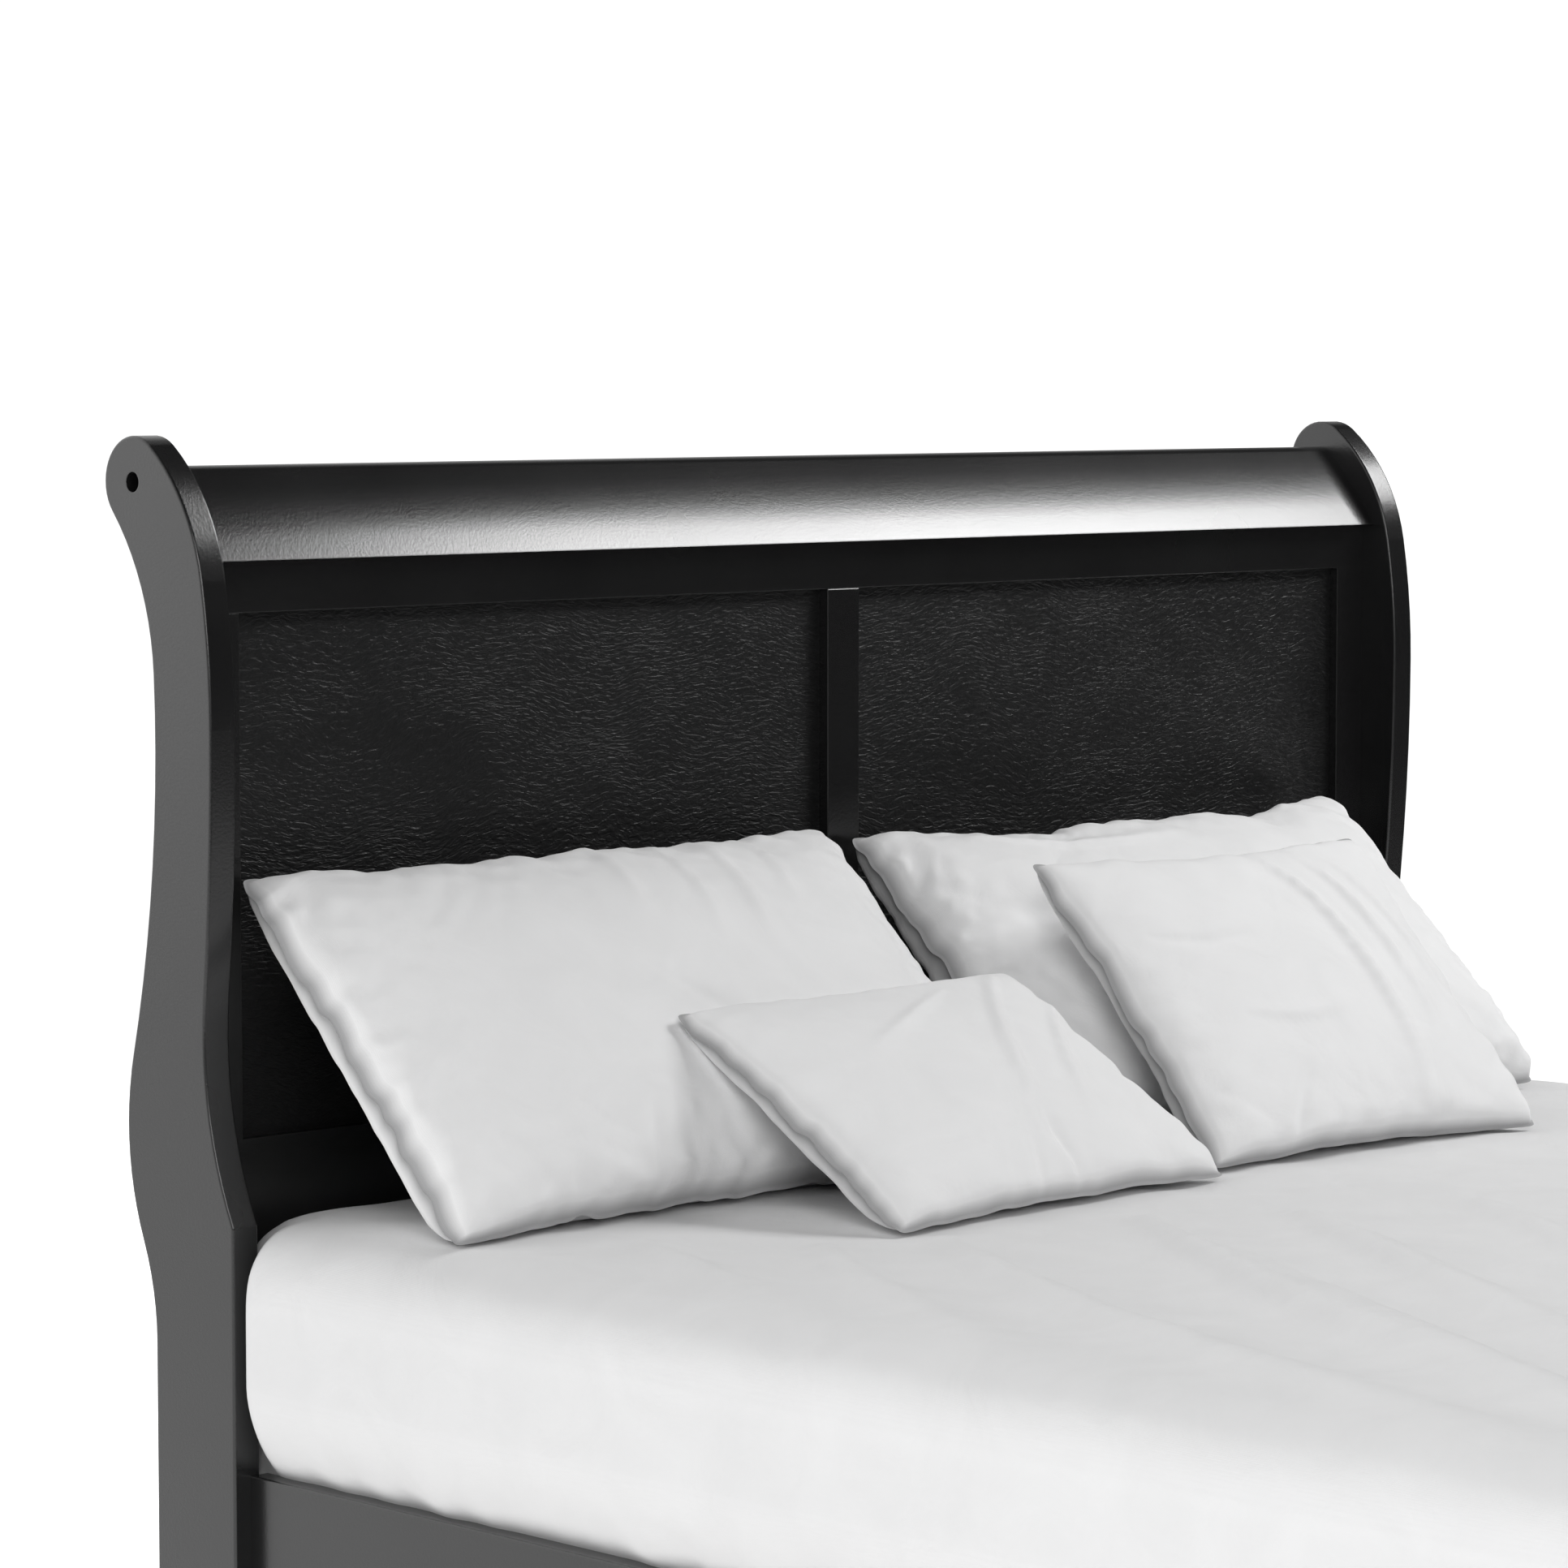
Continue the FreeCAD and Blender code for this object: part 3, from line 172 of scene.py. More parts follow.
def between(material, factor, low, high, start=0.3, end=0.7):
    """A number that runs from low to high with a noise."""
    spread = add_node(material, "MapRange", {"Value": factor, "From Min": start, "From Max": end,
                                             "To Min": low, "To Max": high})
    return spread.outputs["Result"]


def tones(material, factor, dark, light, start=0.3, end=0.7):
    """A colour that runs from dark to light with a noise."""
    ramp = add_node(material, "ValToRGB", {"Fac": factor})
    ramp.color_ramp.elements[0].position, ramp.color_ramp.elements[1].position = start, end
    ramp.color_ramp.elements[0].color = (*dark, 1)
    ramp.color_ramp.elements[1].color = (*light, 1)
    return ramp.outputs["Color"]


def relief(material, height, depth, below=None):
    """A bump of a real depth in metres, laid over another normal where one is given."""
    inputs = {"Height": height, "Strength": 1.0, "Distance": depth}
    if below is not None:
        inputs["Normal"] = below
    return add_node(material, "Bump", inputs).outputs["Normal"]


def connect(material, shader, **sockets):
    """Link outputs to the shader's sockets by name."""
    for socket, output in sockets.items():
        material.node_tree.links.new(output, shader.inputs[socket.replace("_", " ")])


def soft_edge(material):
    """The normal across an eased edge, and how near a point is to one."""
    rounded = add_node(material, "Bevel", {"Radius": EDGE_WIDTH}, samples=4).outputs["Normal"]
    flat = add_node(material, "NewGeometry", {}).outputs["Normal"]
    alike = add_node(material, "VectorMath", {0: rounded, 1: flat}, operation="DOT_PRODUCT").outputs["Value"]
    nearness = add_node(material, "MapRange", {"Value": alike, "From Min": 0.99, "From Max": 0.85})
    return rounded, nearness.outputs["Result"]


def black_lacquer():
    material, shader = new_material("black_lacquer", Coat_Weight=0.5, Coat_Roughness=0.2, IOR=1.5)
    place = object_coordinates(material)
    rounded, edge = soft_edge(material)
    cloudy = grains(material, place, 9)
    wear = add_node(material, "Math", {0: edge, 1: grains(material, place, 55, 4)}, operation="MULTIPLY")
    sprayed = tones(material, cloudy, (0.004, 0.004, 0.0042), (0.009, 0.009, 0.0092), 0.0, 1.0)
    colour = add_node(material, "Mix", {"Factor": wear.outputs["Value"], "A": sprayed,
                                        "B": (0.04, 0.039, 0.038, 1)}, data_type="RGBA")
    peel = relief(material, grains(material, place, 420, 2), 0.00014, rounded)
    connect(material, shader, Base_Color=colour.outputs["Result"], Normal=peel,
            Roughness=between(material, cloudy, 0.24, 0.29, 0.0, 1.0))
    return material


lacquer = black_lacquer()
ENDS, SIDES = ("head", "foot"), ("left", "right")


def finish_node(name, material):
    nodes[name].data.materials.clear()
    nodes[name].data.materials.append(material)


for end in ENDS:
    for part in ("cap_rail", "top_rail", "bottom_rail", "centre_stile", "stile_left", "stile_right",
                 "post_left", "post_right"):
        finish_node(f"{end}_{part}", lacquer)
for side in SIDES:
    finish_node(f"side_rail_{side}", lacquer)

# ---------------------------------------------------------------- panels

# Thin boards pressed with a wavy grain, then sprayed black like the frame they sit in.
# The relief runs mostly across the bed and wanders, like creases in hide.


def embossed_lacquer():
    material, shader = new_material("embossed_lacquer", Coat_Weight=0.1, Coat_Roughness=0.35, IOR=1.5,
                                    Specular_IOR_Level=0.28)
    place = object_coordinates(material)
    wander = add_node(material, "TexNoise", {"Vector": place, "Scale": 5.0, "Detail": 2.0}).outputs["Color"]
    drift = add_node(material, "VectorMath", {0: wander, 1: (0.03, 0.0, 0.09)}, operation="MULTIPLY")
    bent = add_node(material, "VectorMath", {0: place, 1: drift.outputs["Vector"]}).outputs["Vector"]
    stretched = add_node(material, "Mapping", {"Vector": bent, "Scale": (105, 105, 330)}).outputs["Vector"]
    creases = grains(material, stretched, 1.0, 2, 0.7)
    pressed = relief(material, creases, 0.0015)
    # The hollows of the relief are painted a little darker and its ridges a little lighter: painted shade and
    # painted highlight on the relief.
    connect(material, shader, Normal=pressed, Roughness=between(material, creases, 0.50, 0.43),
            Base_Color=tones(material, creases, (0.003, 0.003, 0.0032), (0.006, 0.006, 0.0062)))
    return material


embossed = embossed_lacquer()
for end in ENDS:
    for side in SIDES:
        finish_node(f"{end}_panel_{side}", embossed)

# ---------------------------------------------------------------- base and corner timbers

# Planed softwood that nobody sees once the bed is made: corner blocks, ledges, slats, centre beam and its
# legs, with its grain along each board. The dowels are turned beech.


def planed_wood(name, grain_axis, dark, light):
    """Unfinished wood with its grain along axis 0, 1 or 2."""
    material, shader = new_material(name, IOR=1.45)
    stretch = [34.0, 34.0, 34.0]
    stretch[grain_axis] = 1.6
    place = add_node(material, "TexCoord", {}).outputs["Object"]
    rings = add_node(material, "Mapping", {"Vector": place, "Scale": stretch}).outputs["Vector"]
    bands = grains(material, rings, 1.0, 3, 1.4)
    pores = add_node(material, "Mapping", {"Vector": place, "Scale": [part * 12 for part in stretch]})
    fibres = grains(material, pores.outputs["Vector"], 1.0, 2)
    late = tones(material, bands, dark, light, 0.36, 0.62)
    colour = add_node(material, "Mix", {"Factor": between(material, fibres, 0.0, 0.35), "A": late,
                                        "B": (*[part * 0.72 for part in dark], 1)}, data_type="RGBA")
    connect(material, shader, Base_Color=colour.outputs["Result"], Normal=relief(material, fibres, 0.0002),
            Roughness=between(material, bands, 0.62, 0.74))
    return material


PINE_DARK, PINE_LIGHT = (0.42, 0.27, 0.14), (0.66, 0.49, 0.31)
across_pine = planed_wood("pine_across", 0, PINE_DARK, PINE_LIGHT)
along_pine = planed_wood("pine_along", 1, PINE_DARK, PINE_LIGHT)
upright_pine = planed_wood("pine_upright", 2, PINE_DARK, PINE_LIGHT)
for name in nodes:
    if name.startswith("slat_") and name[5:].isdigit():
        finish_node(name, across_pine)
    elif name.startswith(("slat_ledge", "centre_beam")):
        finish_node(name, along_pine)
    elif name.startswith(("corner_block", "support_leg")):
        finish_node(name, upright_pine)
finish_node("frame_dowels", planed_wood("turned_beech", 0, (0.48, 0.31, 0.19), (0.64, 0.46, 0.31)))

# ---------------------------------------------------------------- metal fittings and glides

# Zinc-plated brackets, hangers, bolts and screws hold the frame together, with black-oxide screws through the
# scrolls. Under each post and leg is a black nylon glide.


def plated_metal(name, dark, light, smooth, rough):
    material, shader = new_material(name, Metallic=1.0)
    place = object_coordinates(material)
    spangle = add_node(material, "TexVoronoi", {"Vector": place, "Scale": 160.0}).outputs["Distance"]
    brushed = add_node(material, "Mapping", {"Vector": place, "Scale": (900, 900, 40)}).outputs["Vector"]
    lines = grains(material, brushed, 1.0, 1)
    connect(material, shader, Base_Color=tones(material, spangle, dark, light, 0.1, 0.8),
            Roughness=between(material, lines, smooth, rough), Normal=relief(material, lines, 0.00003))
    return material


zinc = plated_metal("zinc_plate", (0.50, 0.51, 0.53), (0.70, 0.71, 0.73), 0.26, 0.42)
for name in ("corner_brackets", "beam_hangers", "bracket_bolts", "bracket_screws", "hanger_screws",
             "slat_screws"):
    finish_node(name, zinc)
finish_node("cap_screws", plated_metal("black_oxide", (0.03, 0.03, 0.032), (0.07, 0.07, 0.075), 0.34, 0.5))

nylon, nylon_shader = new_material("moulded_nylon")
nylon_place = object_coordinates(nylon)
connect(nylon, nylon_shader, Roughness=between(nylon, grains(nylon, nylon_place, 300), 0.5, 0.65),
        Base_Color=tones(nylon, grains(nylon, nylon_place, 80), (0.03, 0.03, 0.03), (0.05, 0.05, 0.05)),
        Normal=relief(nylon, grains(nylon, nylon_place, 900), 0.00004))
finish_node("floor_glides", nylon)

# ---------------------------------------------------------------- mattress

# A sprung double mattress in woven ticking, with a tape-edged border.
# The fitted sheet hides all but its underside.

TICKING_INSET, TICKING_CORNER, TICKING_EDGE, TAPE = 0.007, 0.066, 0.078, 0.006
mattress_low, mattress_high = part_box("mattress")


def only(thing):
    """Leave one object selected and active, in object mode."""
    if bpy.context.object and bpy.context.object.mode != "OBJECT":
        bpy.ops.object.mode_set(mode="OBJECT")
    bpy.ops.object.select_all(action="DESELECT")
    thing.select_set(True)
    bpy.context.view_layer.objects.active = thing


def settle(thing):
    """Put a piece's place into its mesh."""
    only(thing)
    bpy.ops.object.transform_apply(location=True, rotation=True, scale=True)


def pick_edges(thing, wanted):
    """Select the edges that a test on both ends picks out, in edit mode."""
    bpy.ops.object.mode_set(mode="EDIT")
    bpy.ops.mesh.select_mode(type="EDGE")
    bpy.ops.mesh.select_all(action="DESELECT")
    bpy.ops.object.mode_set(mode="OBJECT")
    points = thing.data.vertices
    for edge in thing.data.edges:
        first, last = (points[index].co for index in edge.vertices)
        edge.select = wanted(first, last)
    bpy.ops.object.mode_set(mode="EDIT")


def block_between(name, low, high):
    """A cube between two corners, with its place in its mesh."""
    bpy.ops.object.select_all(action="DESELECT")
    bpy.ops.mesh.primitive_cube_add(size=1, location=(low + high) / 2)
    block = bpy.context.object
    block.name = name
    block.scale = high - low
    settle(block)
    return block


inset = Vector((TICKING_INSET, TICKING_INSET, 0))
ticking = block_between("mattress_core", mattress_low + inset + Vector((0, 0, 0.0005)),
                        mattress_high - inset - Vector((0, 0, TICKING_INSET)))
pick_edges(ticking, lambda a, b: abs(a.z - b.z) > 0.1)
bpy.ops.mesh.bevel(offset=TICKING_CORNER, segments=8, affect="EDGES")
bpy.ops.object.mode_set(mode="OBJECT")
top, bottom = mattress_high.z - TICKING_INSET, mattress_low.z + 0.0005
pick_edges(ticking, lambda a, b: min(a.z, b.z) > top - 1e-4)
bpy.ops.mesh.bevel(offset=TICKING_EDGE, segments=6, affect="EDGES")
bpy.ops.object.mode_set(mode="OBJECT")
pick_edges(ticking, lambda a, b: max(a.z, b.z) < bottom + 1e-4)
bpy.ops.mesh.bevel(offset=TAPE, segments=3, affect="EDGES")
bpy.ops.object.mode_set(mode="OBJECT")


def quilted_ticking():
    material, shader = new_material("quilted_ticking", Sheen_Weight=0.15)
    turned = object_coordinates(material, turn=(0, 0, math.radians(45)))
    quilt = add_node(material, "TexVoronoi", {"Vector": turned, "Scale": 9.0}, distance="CHEBYCHEV")
    stitches = add_node(material, "TexWave", {"Vector": object_coordinates(material), "Scale": 60.0})
    puff = relief(material, quilt.outputs["Distance"], 0.01)
    connect(material, shader, Normal=relief(material, stitches.outputs["Fac"], 0.0002, puff),
            Base_Color=tones(material, stitches.outputs["Fac"], (0.70, 0.69, 0.66), (0.80, 0.79, 0.76)),
            Roughness=between(material, stitches.outputs["Fac"], 0.8, 0.9))
    return material


ticking.data.materials.append(quilted_ticking())
bpy.ops.object.shade_smooth_by_angle(angle=math.radians(40))
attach(ticking, "root")
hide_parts("mattress")

# ---------------------------------------------------------------- fitted sheet

# White cotton percale, cut square with its corners sewn and elastic in its hem. The mattress fills it out
# over the side rails. It is pulled tight low down and lies in loose waves on top, where people have sat.

SHEET_STEP, SHEET_CORNER, SHEET_EDGE, HEM_TUCK = 0.008, 0.045, 0.055, 0.012
sheet_low, sheet_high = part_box("fitted_sheet")


def cotton(name, white, place_turn=(0, 0, 0)):
    """Plain-weave white cotton: threads, slubs, faint creases and a little sheen, with painted shade in the
    crease hollows and along the seam.
    """
    material, shader = new_material(name, Sheen_Weight=0.12, Sheen_Roughness=0.5, IOR=1.4)
    shader.inputs["Specular IOR Level"].default_value = 0.25
    place = object_coordinates(material, turn=place_turn)
    warp = add_node(material, "TexWave", {"Vector": place, "Scale": 480.0, "Distortion": 1.5},
                    bands_direction="X").outputs["Fac"]
    weft = add_node(material, "TexWave", {"Vector": place, "Scale": 480.0, "Distortion": 1.5},
                    bands_direction="Y").outputs["Fac"]
    cloth = add_node(material, "Math", {0: warp, 1: weft}, operation="MULTIPLY").outputs["Value"]
    slub = grains(material, place, 90, 5)
    creased = grains(material, place, 14, 6, 0.8)
    normal = relief(material, creased, 0.0022)
    normal = relief(material, slub, 0.0002, normal)
    normal = relief(material, cloth, 0.00006, normal)
    # A dark grey line painted along the seam stands in for the shade there: painted shade.
    seam_shade_mask = add_node(material, "Attribute", {}, attribute_name="seam_shade_paint").outputs["Fac"]
    # The crests of the creases are painted paler than their hollows: painted highlight and painted shade.
    paler = white + 0.03
    crease_shaded_white = tones(material, creased, (white, white, white + 0.003), (paler, paler, white + 0.033))
    colour = add_node(material, "Mix", {"Factor": seam_shade_mask, "A": crease_shaded_white, "B": (0.32, 0.32, 0.325, 1)},
                      data_type="RGBA")
    connect(material, shader, Normal=normal, Roughness=between(material, slub, 0.78, 0.9),
            Base_Color=colour.outputs["Result"])
    return material


def positions(thing):
    """A mesh's points as an array of rows."""
    flat = np.empty(len(thing.data.vertices) * 3)
    thing.data.vertices.foreach_get("co", flat)
    return flat.reshape(-1, 3)


def normals(thing):
    """A mesh's point normals as an array of rows."""
    flat = np.empty(len(thing.data.vertices) * 3)
    thing.data.vertices.foreach_get("normal", flat)
    return flat.reshape(-1, 3)


def put_back(thing, points):
    """Move a mesh's points to an array of rows."""
    thing.data.vertices.foreach_set("co", points.reshape(-1).astype(np.float32))
    thing.data.update()


def smooth_step(value, start, end):
    """A share that eases from 0 at the start to 1 at the end."""
    share = np.clip((value - start) / (end - start), 0, 1)
    return share * share * (3 - 2 * share)


def fold_height(across, up, start, bend, end, width, height):
    """How high a fold lifts a flat cloth. It runs along a bent line and dies out at both ends."""
    lift = np.zeros_like(across)
    for step in np.linspace(0, 1, 40):
        on_line = [(1 - step) ** 2 * a + 2 * step * (1 - step) * b + step ** 2 * c
                   for a, b, c in zip(start, bend, end)]
        reach = width * (0.6 + 0.8 * step)
        fade = math.sin(math.pi * min(1, 0.08 + step * 0.92)) ** 0.7
        distance = (across - on_line[0]) ** 2 + (up - on_line[1]) ** 2
        lift = np.maximum(lift, height * fade * np.exp(-distance / reach ** 2))
    return lift


block_low = Vector((sheet_low.x, sheet_low.y, mattress_low.z + HEM_TUCK))
sheet = block_between("bed_sheet", block_low, sheet_high)
pick_edges(sheet, lambda a, b: abs(a.z - b.z) > 0.1)
bpy.ops.mesh.bevel(offset=SHEET_CORNER, segments=6, affect="EDGES")
bpy.ops.object.mode_set(mode="OBJECT")
pick_edges(sheet, lambda a, b: min(a.z, b.z) > sheet_high.z - 1e-4)
bpy.ops.mesh.bevel(offset=SHEET_EDGE, segments=8, affect="EDGES")
bpy.ops.object.mode_set(mode="OBJECT")
remesh = sheet.modifiers.new("even_mesh", "REMESH")
remesh.mode, remesh.voxel_size = "VOXEL", SHEET_STEP
bpy.ops.object.modifier_apply(modifier="even_mesh")
bpy.ops.object.mode_set(mode="EDIT")
bpy.ops.mesh.select_all(action="SELECT")
bpy.ops.mesh.vertices_smooth(factor=0.5, repeat=4)
bpy.ops.mesh.select_mode(type="FACE")
bpy.ops.mesh.select_all(action="DESELECT")
bpy.ops.object.mode_set(mode="OBJECT")
for face in sheet.data.polygons:
    face.select = face.center.z < block_low.z + SHEET_STEP
bpy.ops.object.mode_set(mode="EDIT")
bpy.ops.mesh.delete(type="FACE")
bpy.ops.object.mode_set(mode="OBJECT")

# The swell starts at the top of the side rail and dies out where the sheet passes between the posts.
BULGE, BULGE_RISE, POST_FACE = 0.044, 0.076, 0.8935
points, outward = positions(sheet), normals(sheet)
x, y, z = points.T
rail_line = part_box("side_rail_left")[1].z
swell = smooth_step(z, rail_line - 0.004, rail_line + BULGE_RISE) ** 0.45
beside_post = smooth_step(-np.abs(y), 0.0015 - POST_FACE, 0.022 - POST_FACE)
x = x + np.sign(x) * BULGE * swell * beside_post * smooth_step(np.abs(x), 0.50, 0.672)

# Each wave is a line across the top through three points, with its width and its height.
top_share = smooth_step(outward[:, 2], 0.45, 0.95)
WAVE_WIDTH, WAVE_LIFT, ROLL_HEIGHT, RIPPLE_HEIGHT = 0.8, 2.1, 0.005, 0.0022
WAVES = [
    ((-0.38, 0.46), (-0.56, 0.22), (-0.66, -0.34), 0.030, 0.0060),
    ((-0.47, 0.50), (-0.58, 0.36), (-0.67, 0.10), 0.024, 0.0042),
    ((-0.20, 0.42), (-0.40, 0.14), (-0.58, -0.34), 0.027, 0.0070),
    ((-0.25, 0.30), (-0.42, 0.00), (-0.62, -0.46), 0.022, 0.0045),
    ((-0.08, 0.36), (-0.25, 0.12), (-0.44, -0.28), 0.028, 0.0060),
    ((0.06, 0.30), (-0.12, 0.02), (-0.33, -0.30), 0.026, 0.0050),
    ((0.16, 0.12), (0.00, -0.16), (-0.20, -0.48), 0.032, 0.0048),
    ((-0.56, 0.60), (-0.60, 0.52), (-0.64, 0.40), 0.020, 0.0035),
    ((0.40, 0.34), (0.52, 0.06), (0.60, -0.34), 0.032, 0.0050),
    ((0.28, 0.18), (0.38, -0.12), (0.42, -0.50), 0.028, 0.0042),
    ((-0.30, -0.50), (-0.12, -0.62), (0.10, -0.78), 0.034, 0.0045),
    ((0.20, -0.55), (0.34, -0.66), (0.50, -0.84), 0.030, 0.0040),
]
lift = np.zeros_like(x)
for start, bend, end, width, height in WAVES:
    lift = lift + fold_height(x, y, start, bend, end, WAVE_WIDTH * width, height)
roll = np.array([noise.noise(Vector((a * 3.1, b * 2.3, 4.7))) for a, b in zip(x, y)])
ripple = np.array([noise.noise(Vector((a * 17 + b * 6, b * 9 - a * 4, 1.3))) for a, b in zip(x, y)])
z = z + top_share * (WAVE_LIFT * lift + ROLL_HEIGHT * roll + RIPPLE_HEIGHT * ripple)

# The elastic gathers the cloth just above the rails, more along the sides than at the ends.
SIDE_GATHER, END_GATHER = 0.006, 0.001
round_place = np.where(np.abs(x) / sheet_high.x > np.abs(y) / sheet_high.y, y, x)
gather = np.array([noise.noise(Vector((a * 26, b * 3, 9.1))) for a, b in zip(round_place, z)])
low_down = np.exp(-((z - rail_line - 0.012) / 0.03) ** 2) * (1 - top_share)
flat_out = outward * np.array([1, 1, 0.2])
x = x + flat_out[:, 0] * gather * low_down * SIDE_GATHER * beside_post
y = y + flat_out[:, 1] * gather * low_down * END_GATHER
put_back(sheet, np.stack([x, y, z], axis=1))

bpy.ops.object.shade_smooth()
sheet.data.materials.append(cotton("sheet_cotton", 0.755))
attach(sheet, "root")
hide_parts("fitted_sheet")

# ---------------------------------------------------------------- pillows and cushions

# Plain cotton covers, sewn from a front and a back with the seam at the edge and stuffed with soft fibre, so
# that the corners stay sharp and the seam gathers. Two bed pillows lean back towards the headboard, with two
# cushions in front of them.

CLOTH_STEP, PRESSURE, STUFFING_FRAMES = 0.006, 4.0, 30
# The third and fourth numbers set how far from the seam the cloth's colour is darkened and by how much:
# painted shade along the seam.
SEAM_WALL, RIDGE, PAINTED_SHADE_REACH, PAINTED_SHADE_ON_SEAM, ON_SEAM = 0.003, 0.0022, 0.0035, 0.85, 0.001
KEPT_RELIEF, SEAM_PUCKER, EDGE_PUCKER = 0.35, 0.22, 0.006
BED_TOP = sheet_high.z


def sewn_cover(name, width, height):
    """A front and a back sewn together, lying flat on the XY plane."""
    bpy.ops.object.select_all(action="DESELECT")
    bpy.ops.mesh.primitive_grid_add(x_subdivisions=round(width / CLOTH_STEP),
                                    y_subdivisions=round(height / CLOTH_STEP), size=1)
    cover = bpy.context.object
    cover.name = name
    bpy.ops.object.mode_set(mode="EDIT")
    bpy.ops.transform.resize(value=(width, height, 1))
    bpy.ops.mesh.extrude_region_move(TRANSFORM_OT_translate={"value": (0, 0, SEAM_WALL)})
    bpy.ops.mesh.select_all(action="SELECT")
    bpy.ops.transform.translate(value=(0, 0, -SEAM_WALL / 2))
    bpy.ops.mesh.normals_make_consistent(inside=False)
    bpy.ops.object.mode_set(mode="OBJECT")
    return cover


def stuff(cover, width, height, gather):
    """Blow the cover up with cloth physics, its seam gathered. Gives back where each point lay when flat."""
    flat = positions(cover)
    stitching = cover.vertex_groups.new(name="stitching")
    on_seam = (np.abs(flat[:, 0]) > width / 2 - ON_SEAM) | (np.abs(flat[:, 1]) > height / 2 - ON_SEAM)
    stitching.add([int(index) for index in np.nonzero(on_seam)[0]], 1.0, "REPLACE")
    cloth = cover.modifiers.new("cloth", "CLOTH")
    settings = cloth.settings
    settings.quality = 6
    settings.mass = 0.2
    settings.tension_stiffness = settings.compression_stiffness = 25
    settings.shear_stiffness = 8
    settings.bending_stiffness = 0.15
    settings.use_pressure = True
    settings.uniform_pressure_force = PRESSURE
    settings.effector_weights.gravity = 0
    settings.vertex_group_shrink = "stitching"
    settings.shrink_min, settings.shrink_max = 0.0, gather
    cloth.point_cache.frame_start, cloth.point_cache.frame_end = 1, STUFFING_FRAMES
    for step in range(1, STUFFING_FRAMES + 1):
        bpy.context.scene.frame_set(step)
    bpy.ops.object.modifier_apply(modifier="cloth")
    bpy.context.scene.frame_set(1)
    cover.vertex_groups.clear()
    return flat


def fill_out(points, flat, thick, square):
    """Bring a stuffed cover part of the way back to its cut outline, and plump it up towards its seams."""
    points -= (points.max(0) + points.min(0)) / 2
    cut = flat[:, :2] * (points[:, :2].max(0) / flat[:, :2].max(0))
    points[:, :2] += square * (cut - points[:, :2])
    across, up = (flat[:, :2] / flat[:, :2].max(0)).T
    plump = np.clip((1 - np.abs(across) ** 5) * (1 - np.abs(up) ** 5), 0, 1) ** 0.32
    points[:, 2] *= thick / (points[:, 2].max() - points[:, 2].min())
    pucker = np.array([noise.noise(Vector((a * 2.1 * thick / 0.13, b * 1.9, 3.3)))
                       for a, b in flat[:, :2] * 22])
    near_seam = np.exp(-(1 - np.maximum(np.abs(across), np.abs(up))) / 0.16)
    loft = np.sign(flat[:, 2]) * thick / 2 * plump * (1 + SEAM_PUCKER * pucker * near_seam)
    points[:, 2] = KEPT_RELIEF * points[:, 2] + (1 - KEPT_RELIEF) * loft
    points[:, 2] += EDGE_PUCKER * pucker * near_seam * (1 - plump)


def lay(cover, flat, width, height, thick, middle, front, lean, turn, square, folds):
    """Fit a stuffed cover to its size, press folds into it, and lean it on the bed."""
    only(cover)
    points = positions(cover)
    fill_out(points, flat, thick, square)
    points *= np.array([width, height, thick]) / (points.max(0) - points.min(0))
    across, up = points[:, 0] * 2 / width, points[:, 1] * 2 / height
    slump = 1 - 0.16 * up
    points[:, 2] *= slump
    facing = smooth_step(points[:, 2], 0.003, 0.02)
    for start, bend, end, breadth, lift in folds:
        points[:, 2] += facing * fold_height(across, up, start, bend, end, breadth, abs(lift)) * np.sign(lift)
    lean, turn = math.radians(lean), math.radians(turn)
    back, rise = height / 2 * math.sin(lean), height / 2 * math.cos(lean)
    rest = BED_TOP + 0.0003 + 0.003 * math.sin(lean)
    centre = Vector((middle - back * math.sin(turn), front + back * math.cos(turn), rest + rise))
    place = (Matrix.Translation(centre) @ Matrix.Rotation(turn, 4, "Z")
             @ Matrix.Rotation(math.pi / 2 - lean, 4, "X"))
    points = points @ np.array(place.to_3x3()).T + np.array(centre)
    floor_line = BED_TOP + 0.002
    low = points[:, 2] < floor_line + 0.012
    squeezed = floor_line + 0.012 * np.exp((points[low, 2] - floor_line - 0.012) / 0.012)
    points[low, 2] = squeezed
    put_back(cover, points)


def finish_cover(cover, flat, node, cover_cloth):
    """Paint shade along the seam, turn the seam up into a narrow ridge, refine the mesh and hand the piece
    over.
    """
    only(cover)
    from_edge = (np.abs(flat[:, :2]).max(0) - np.abs(flat[:, :2])).min(axis=1)
    # The dark line on the seam is painted shade. It is strongest on the seam and fades within a few
    # millimetres.
    seam = cover.data.attributes.new("seam_shade_paint", "FLOAT", "POINT")
    seam.data.foreach_set("value", PAINTED_SHADE_ON_SEAM * np.exp(-(from_edge / PAINTED_SHADE_REACH) ** 2))
    bpy.ops.object.mode_set(mode="EDIT")
    bpy.ops.mesh.select_mode(type="FACE")
    bpy.ops.mesh.select_all(action="DESELECT")
    bpy.ops.object.mode_set(mode="OBJECT")
    for face in cover.data.polygons:
        face.select = all(from_edge[index] < ON_SEAM for index in face.vertices)
    bpy.ops.object.mode_set(mode="EDIT")
    bpy.ops.mesh.extrude_region_shrink_fatten(TRANSFORM_OT_shrink_fatten={"value": RIDGE})
    bpy.ops.object.mode_set(mode="OBJECT")
    finer = cover.modifiers.new("finer", "SUBSURF")
    finer.levels = finer.render_levels = 1
    bpy.ops.object.modifier_apply(modifier="finer")
    bpy.ops.object.shade_smooth()
    cover.data.materials.append(cover_cloth)
    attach(cover, "root")
    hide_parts(node)


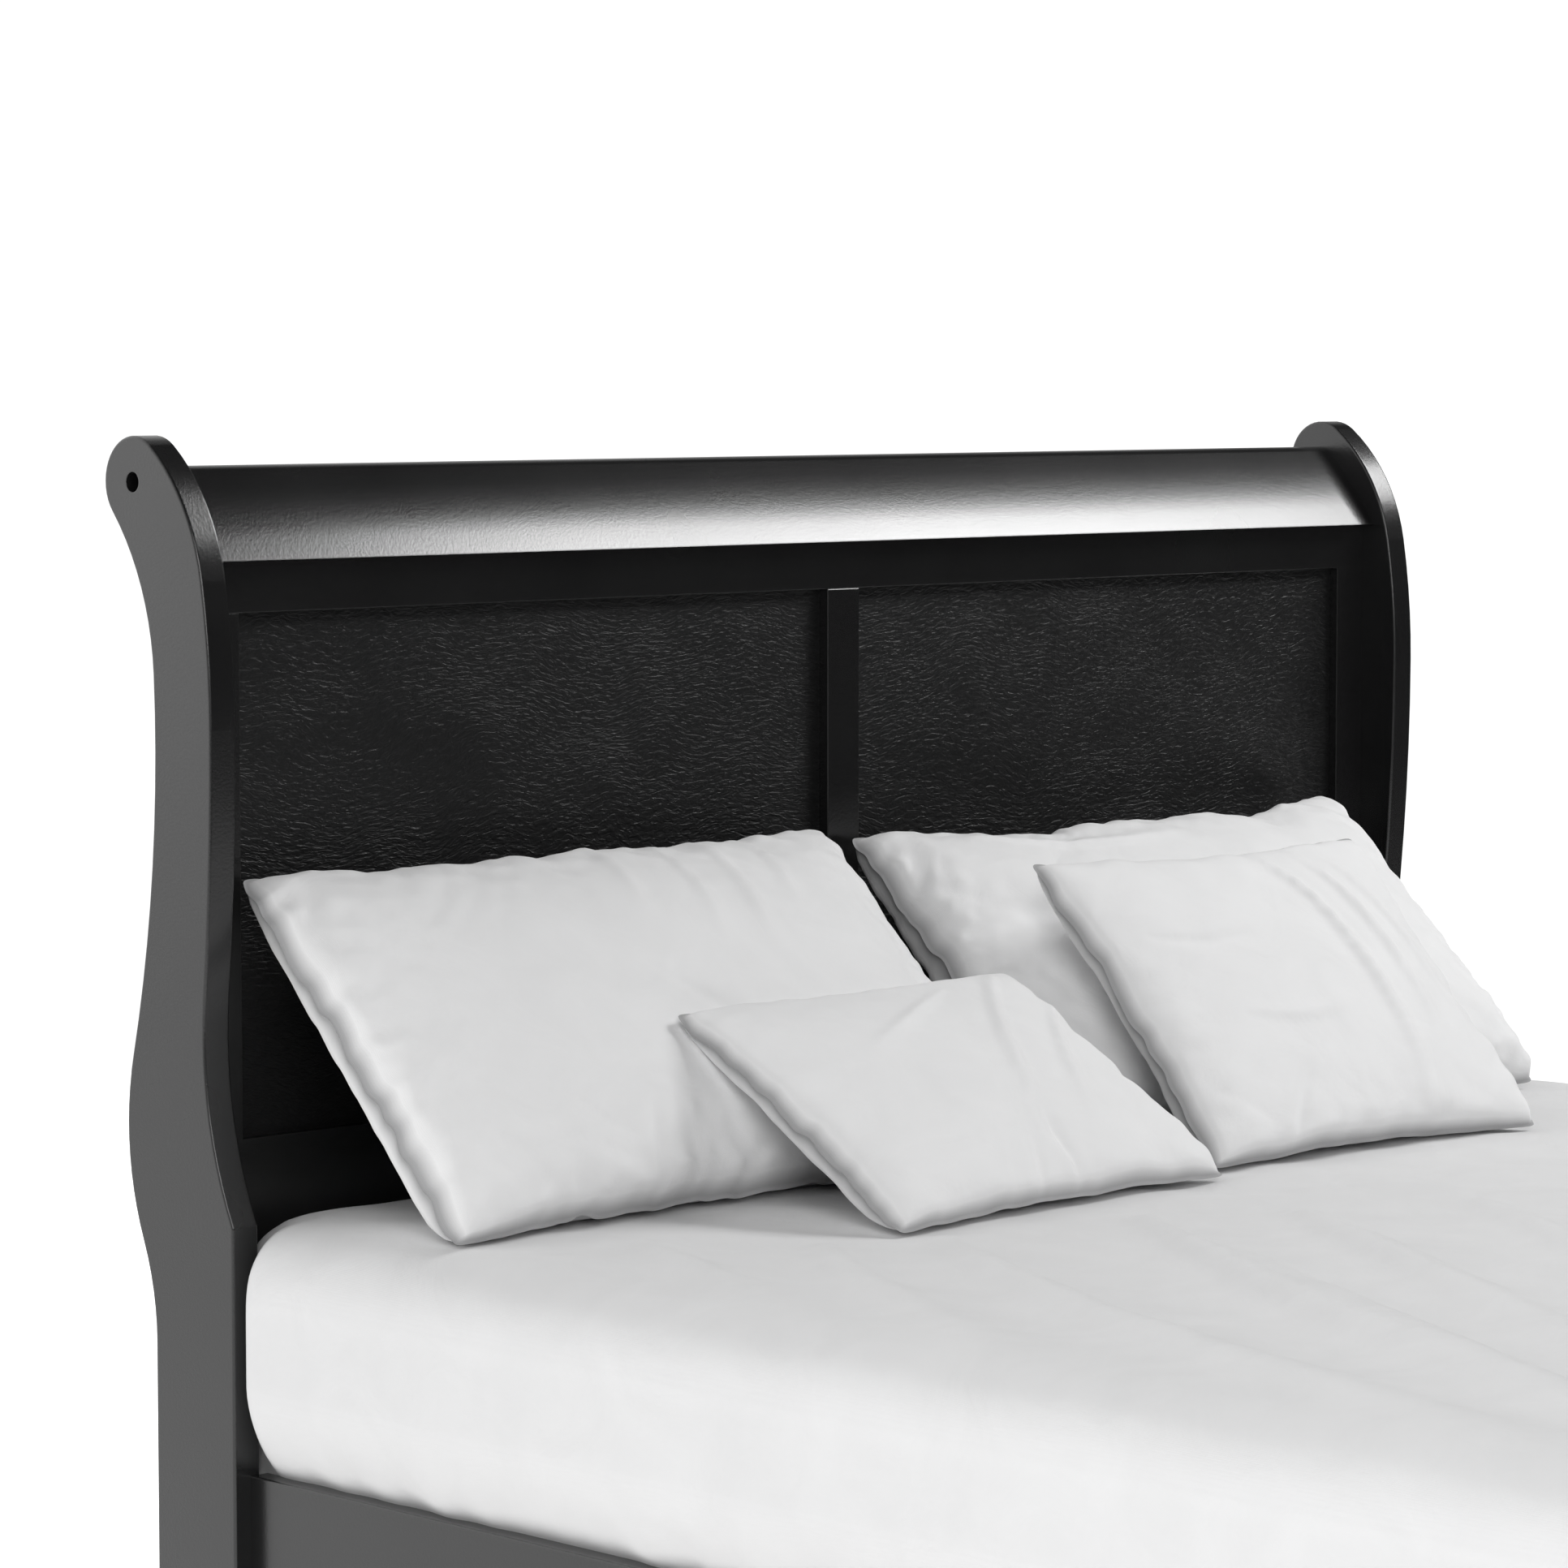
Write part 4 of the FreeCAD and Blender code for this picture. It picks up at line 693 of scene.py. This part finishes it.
# Width, height and thickness, the place of the lower edge across and along the bed, lean and turn in degrees,
# how full it is, its slot, how much the seam gathers, how straight it keeps its sides, and its folds.
COVERS = {
    "pillow_left": (0.625, 0.362, 0.130, -0.364, 0.680, 45, 0, 0.8, "cotton_pillowcase", 0.05, 0.8, [
        ((-0.34, -1.0), (-0.40, -0.75), (-0.30, -0.45), 0.030, -0.007),
        ((-0.1, 0.1), (0.1, -0.3), (0.3, -0.6), 0.05, -0.005),
        ((0.25, 0.95), (0.30, 0.6), (0.22, 0.2), 0.022, 0.006),
        ((0.42, 0.95), (0.46, 0.6), (0.36, 0.1), 0.022, 0.006),
        ((0.58, 0.95), (0.62, 0.7), (0.55, 0.3), 0.020, 0.005),
        ((0.05, 0.95), (0.08, 0.7), (0.02, 0.4), 0.022, 0.005)]),
    "pillow_right": (0.628, 0.350, 0.130, 0.306, 0.690, 45, 0, 0.8, "cotton_pillowcase", 0.05, 0.6, [
        ((-0.5, 0.2), (-0.2, 0.0), (0.2, 0.2), 0.05, -0.006),
        ((-0.7, 0.8), (-0.3, 0.55), (0.1, 0.7), 0.03, 0.005)]),
    "cushion_square": (0.384, 0.322, 0.084, 0.210, 0.528, 43.5, -4, 0.7, "cotton_cushion_cover", 0.05, 0.8, [
        ((0.20, 0.85), (0.46, 0.2), (0.30, -0.9), 0.035, 0.009),
        ((0.42, 0.85), (0.66, 0.3), (0.55, -0.5), 0.028, 0.008),
        ((0.60, 0.80), (0.82, 0.2), (0.78, -0.4), 0.025, 0.007),
        ((-0.75, 0.35), (-0.45, 0.2), (-0.2, 0.3), 0.03, -0.005),
        ((-0.5, -0.2), (-0.2, -0.35), (0.1, -0.2), 0.04, 0.005),
        ((-0.55, -0.98), (-0.5, -0.8), (-0.35, -0.6), 0.03, -0.006)]),
    "cushion_small": (0.392, 0.276, 0.078, -0.203, 0.5005, 58, 3.3, 0.6, "cotton_cushion_cover", 0.05, 0.85, [
        ((0.75, 0.85), (0.30, 0.35), (0.05, -0.6), 0.035, 0.009),
        ((0.90, 0.5), (0.55, 0.1), (0.35, -0.6), 0.030, 0.008),
        ((0.35, 0.75), (-0.1, 0.45), (-0.5, 0.2), 0.035, 0.006),
        ((0.10, -0.95), (0.05, -0.7), (0.12, -0.4), 0.03, -0.008),
        ((-0.15, -0.95), (-0.12, -0.75), (0.0, -0.5), 0.03, -0.006)]),
}
for node, facts in COVERS.items():
    width, height, thick, middle, front, lean, turn, fill, slot_name, gather, square, folds = facts
    cut_width = width * (1 + 2.7 * (thick / width) ** 2) * 1.02
    cut_height = height * (1 + 2.7 * (thick / height) ** 2) * 1.02
    cover = sewn_cover(f"{node}_cover", cut_width, cut_height)
    flat = stuff(cover, cut_width, cut_height, gather)
    lay(cover, flat, width, height, thick, middle, front, lean, turn, square, folds)
    cloth_turn = (math.radians(90 - lean), 0, math.radians(turn))
    finish_cover(cover, flat, node, cotton(f"{node}_cotton", 0.86, cloth_turn))
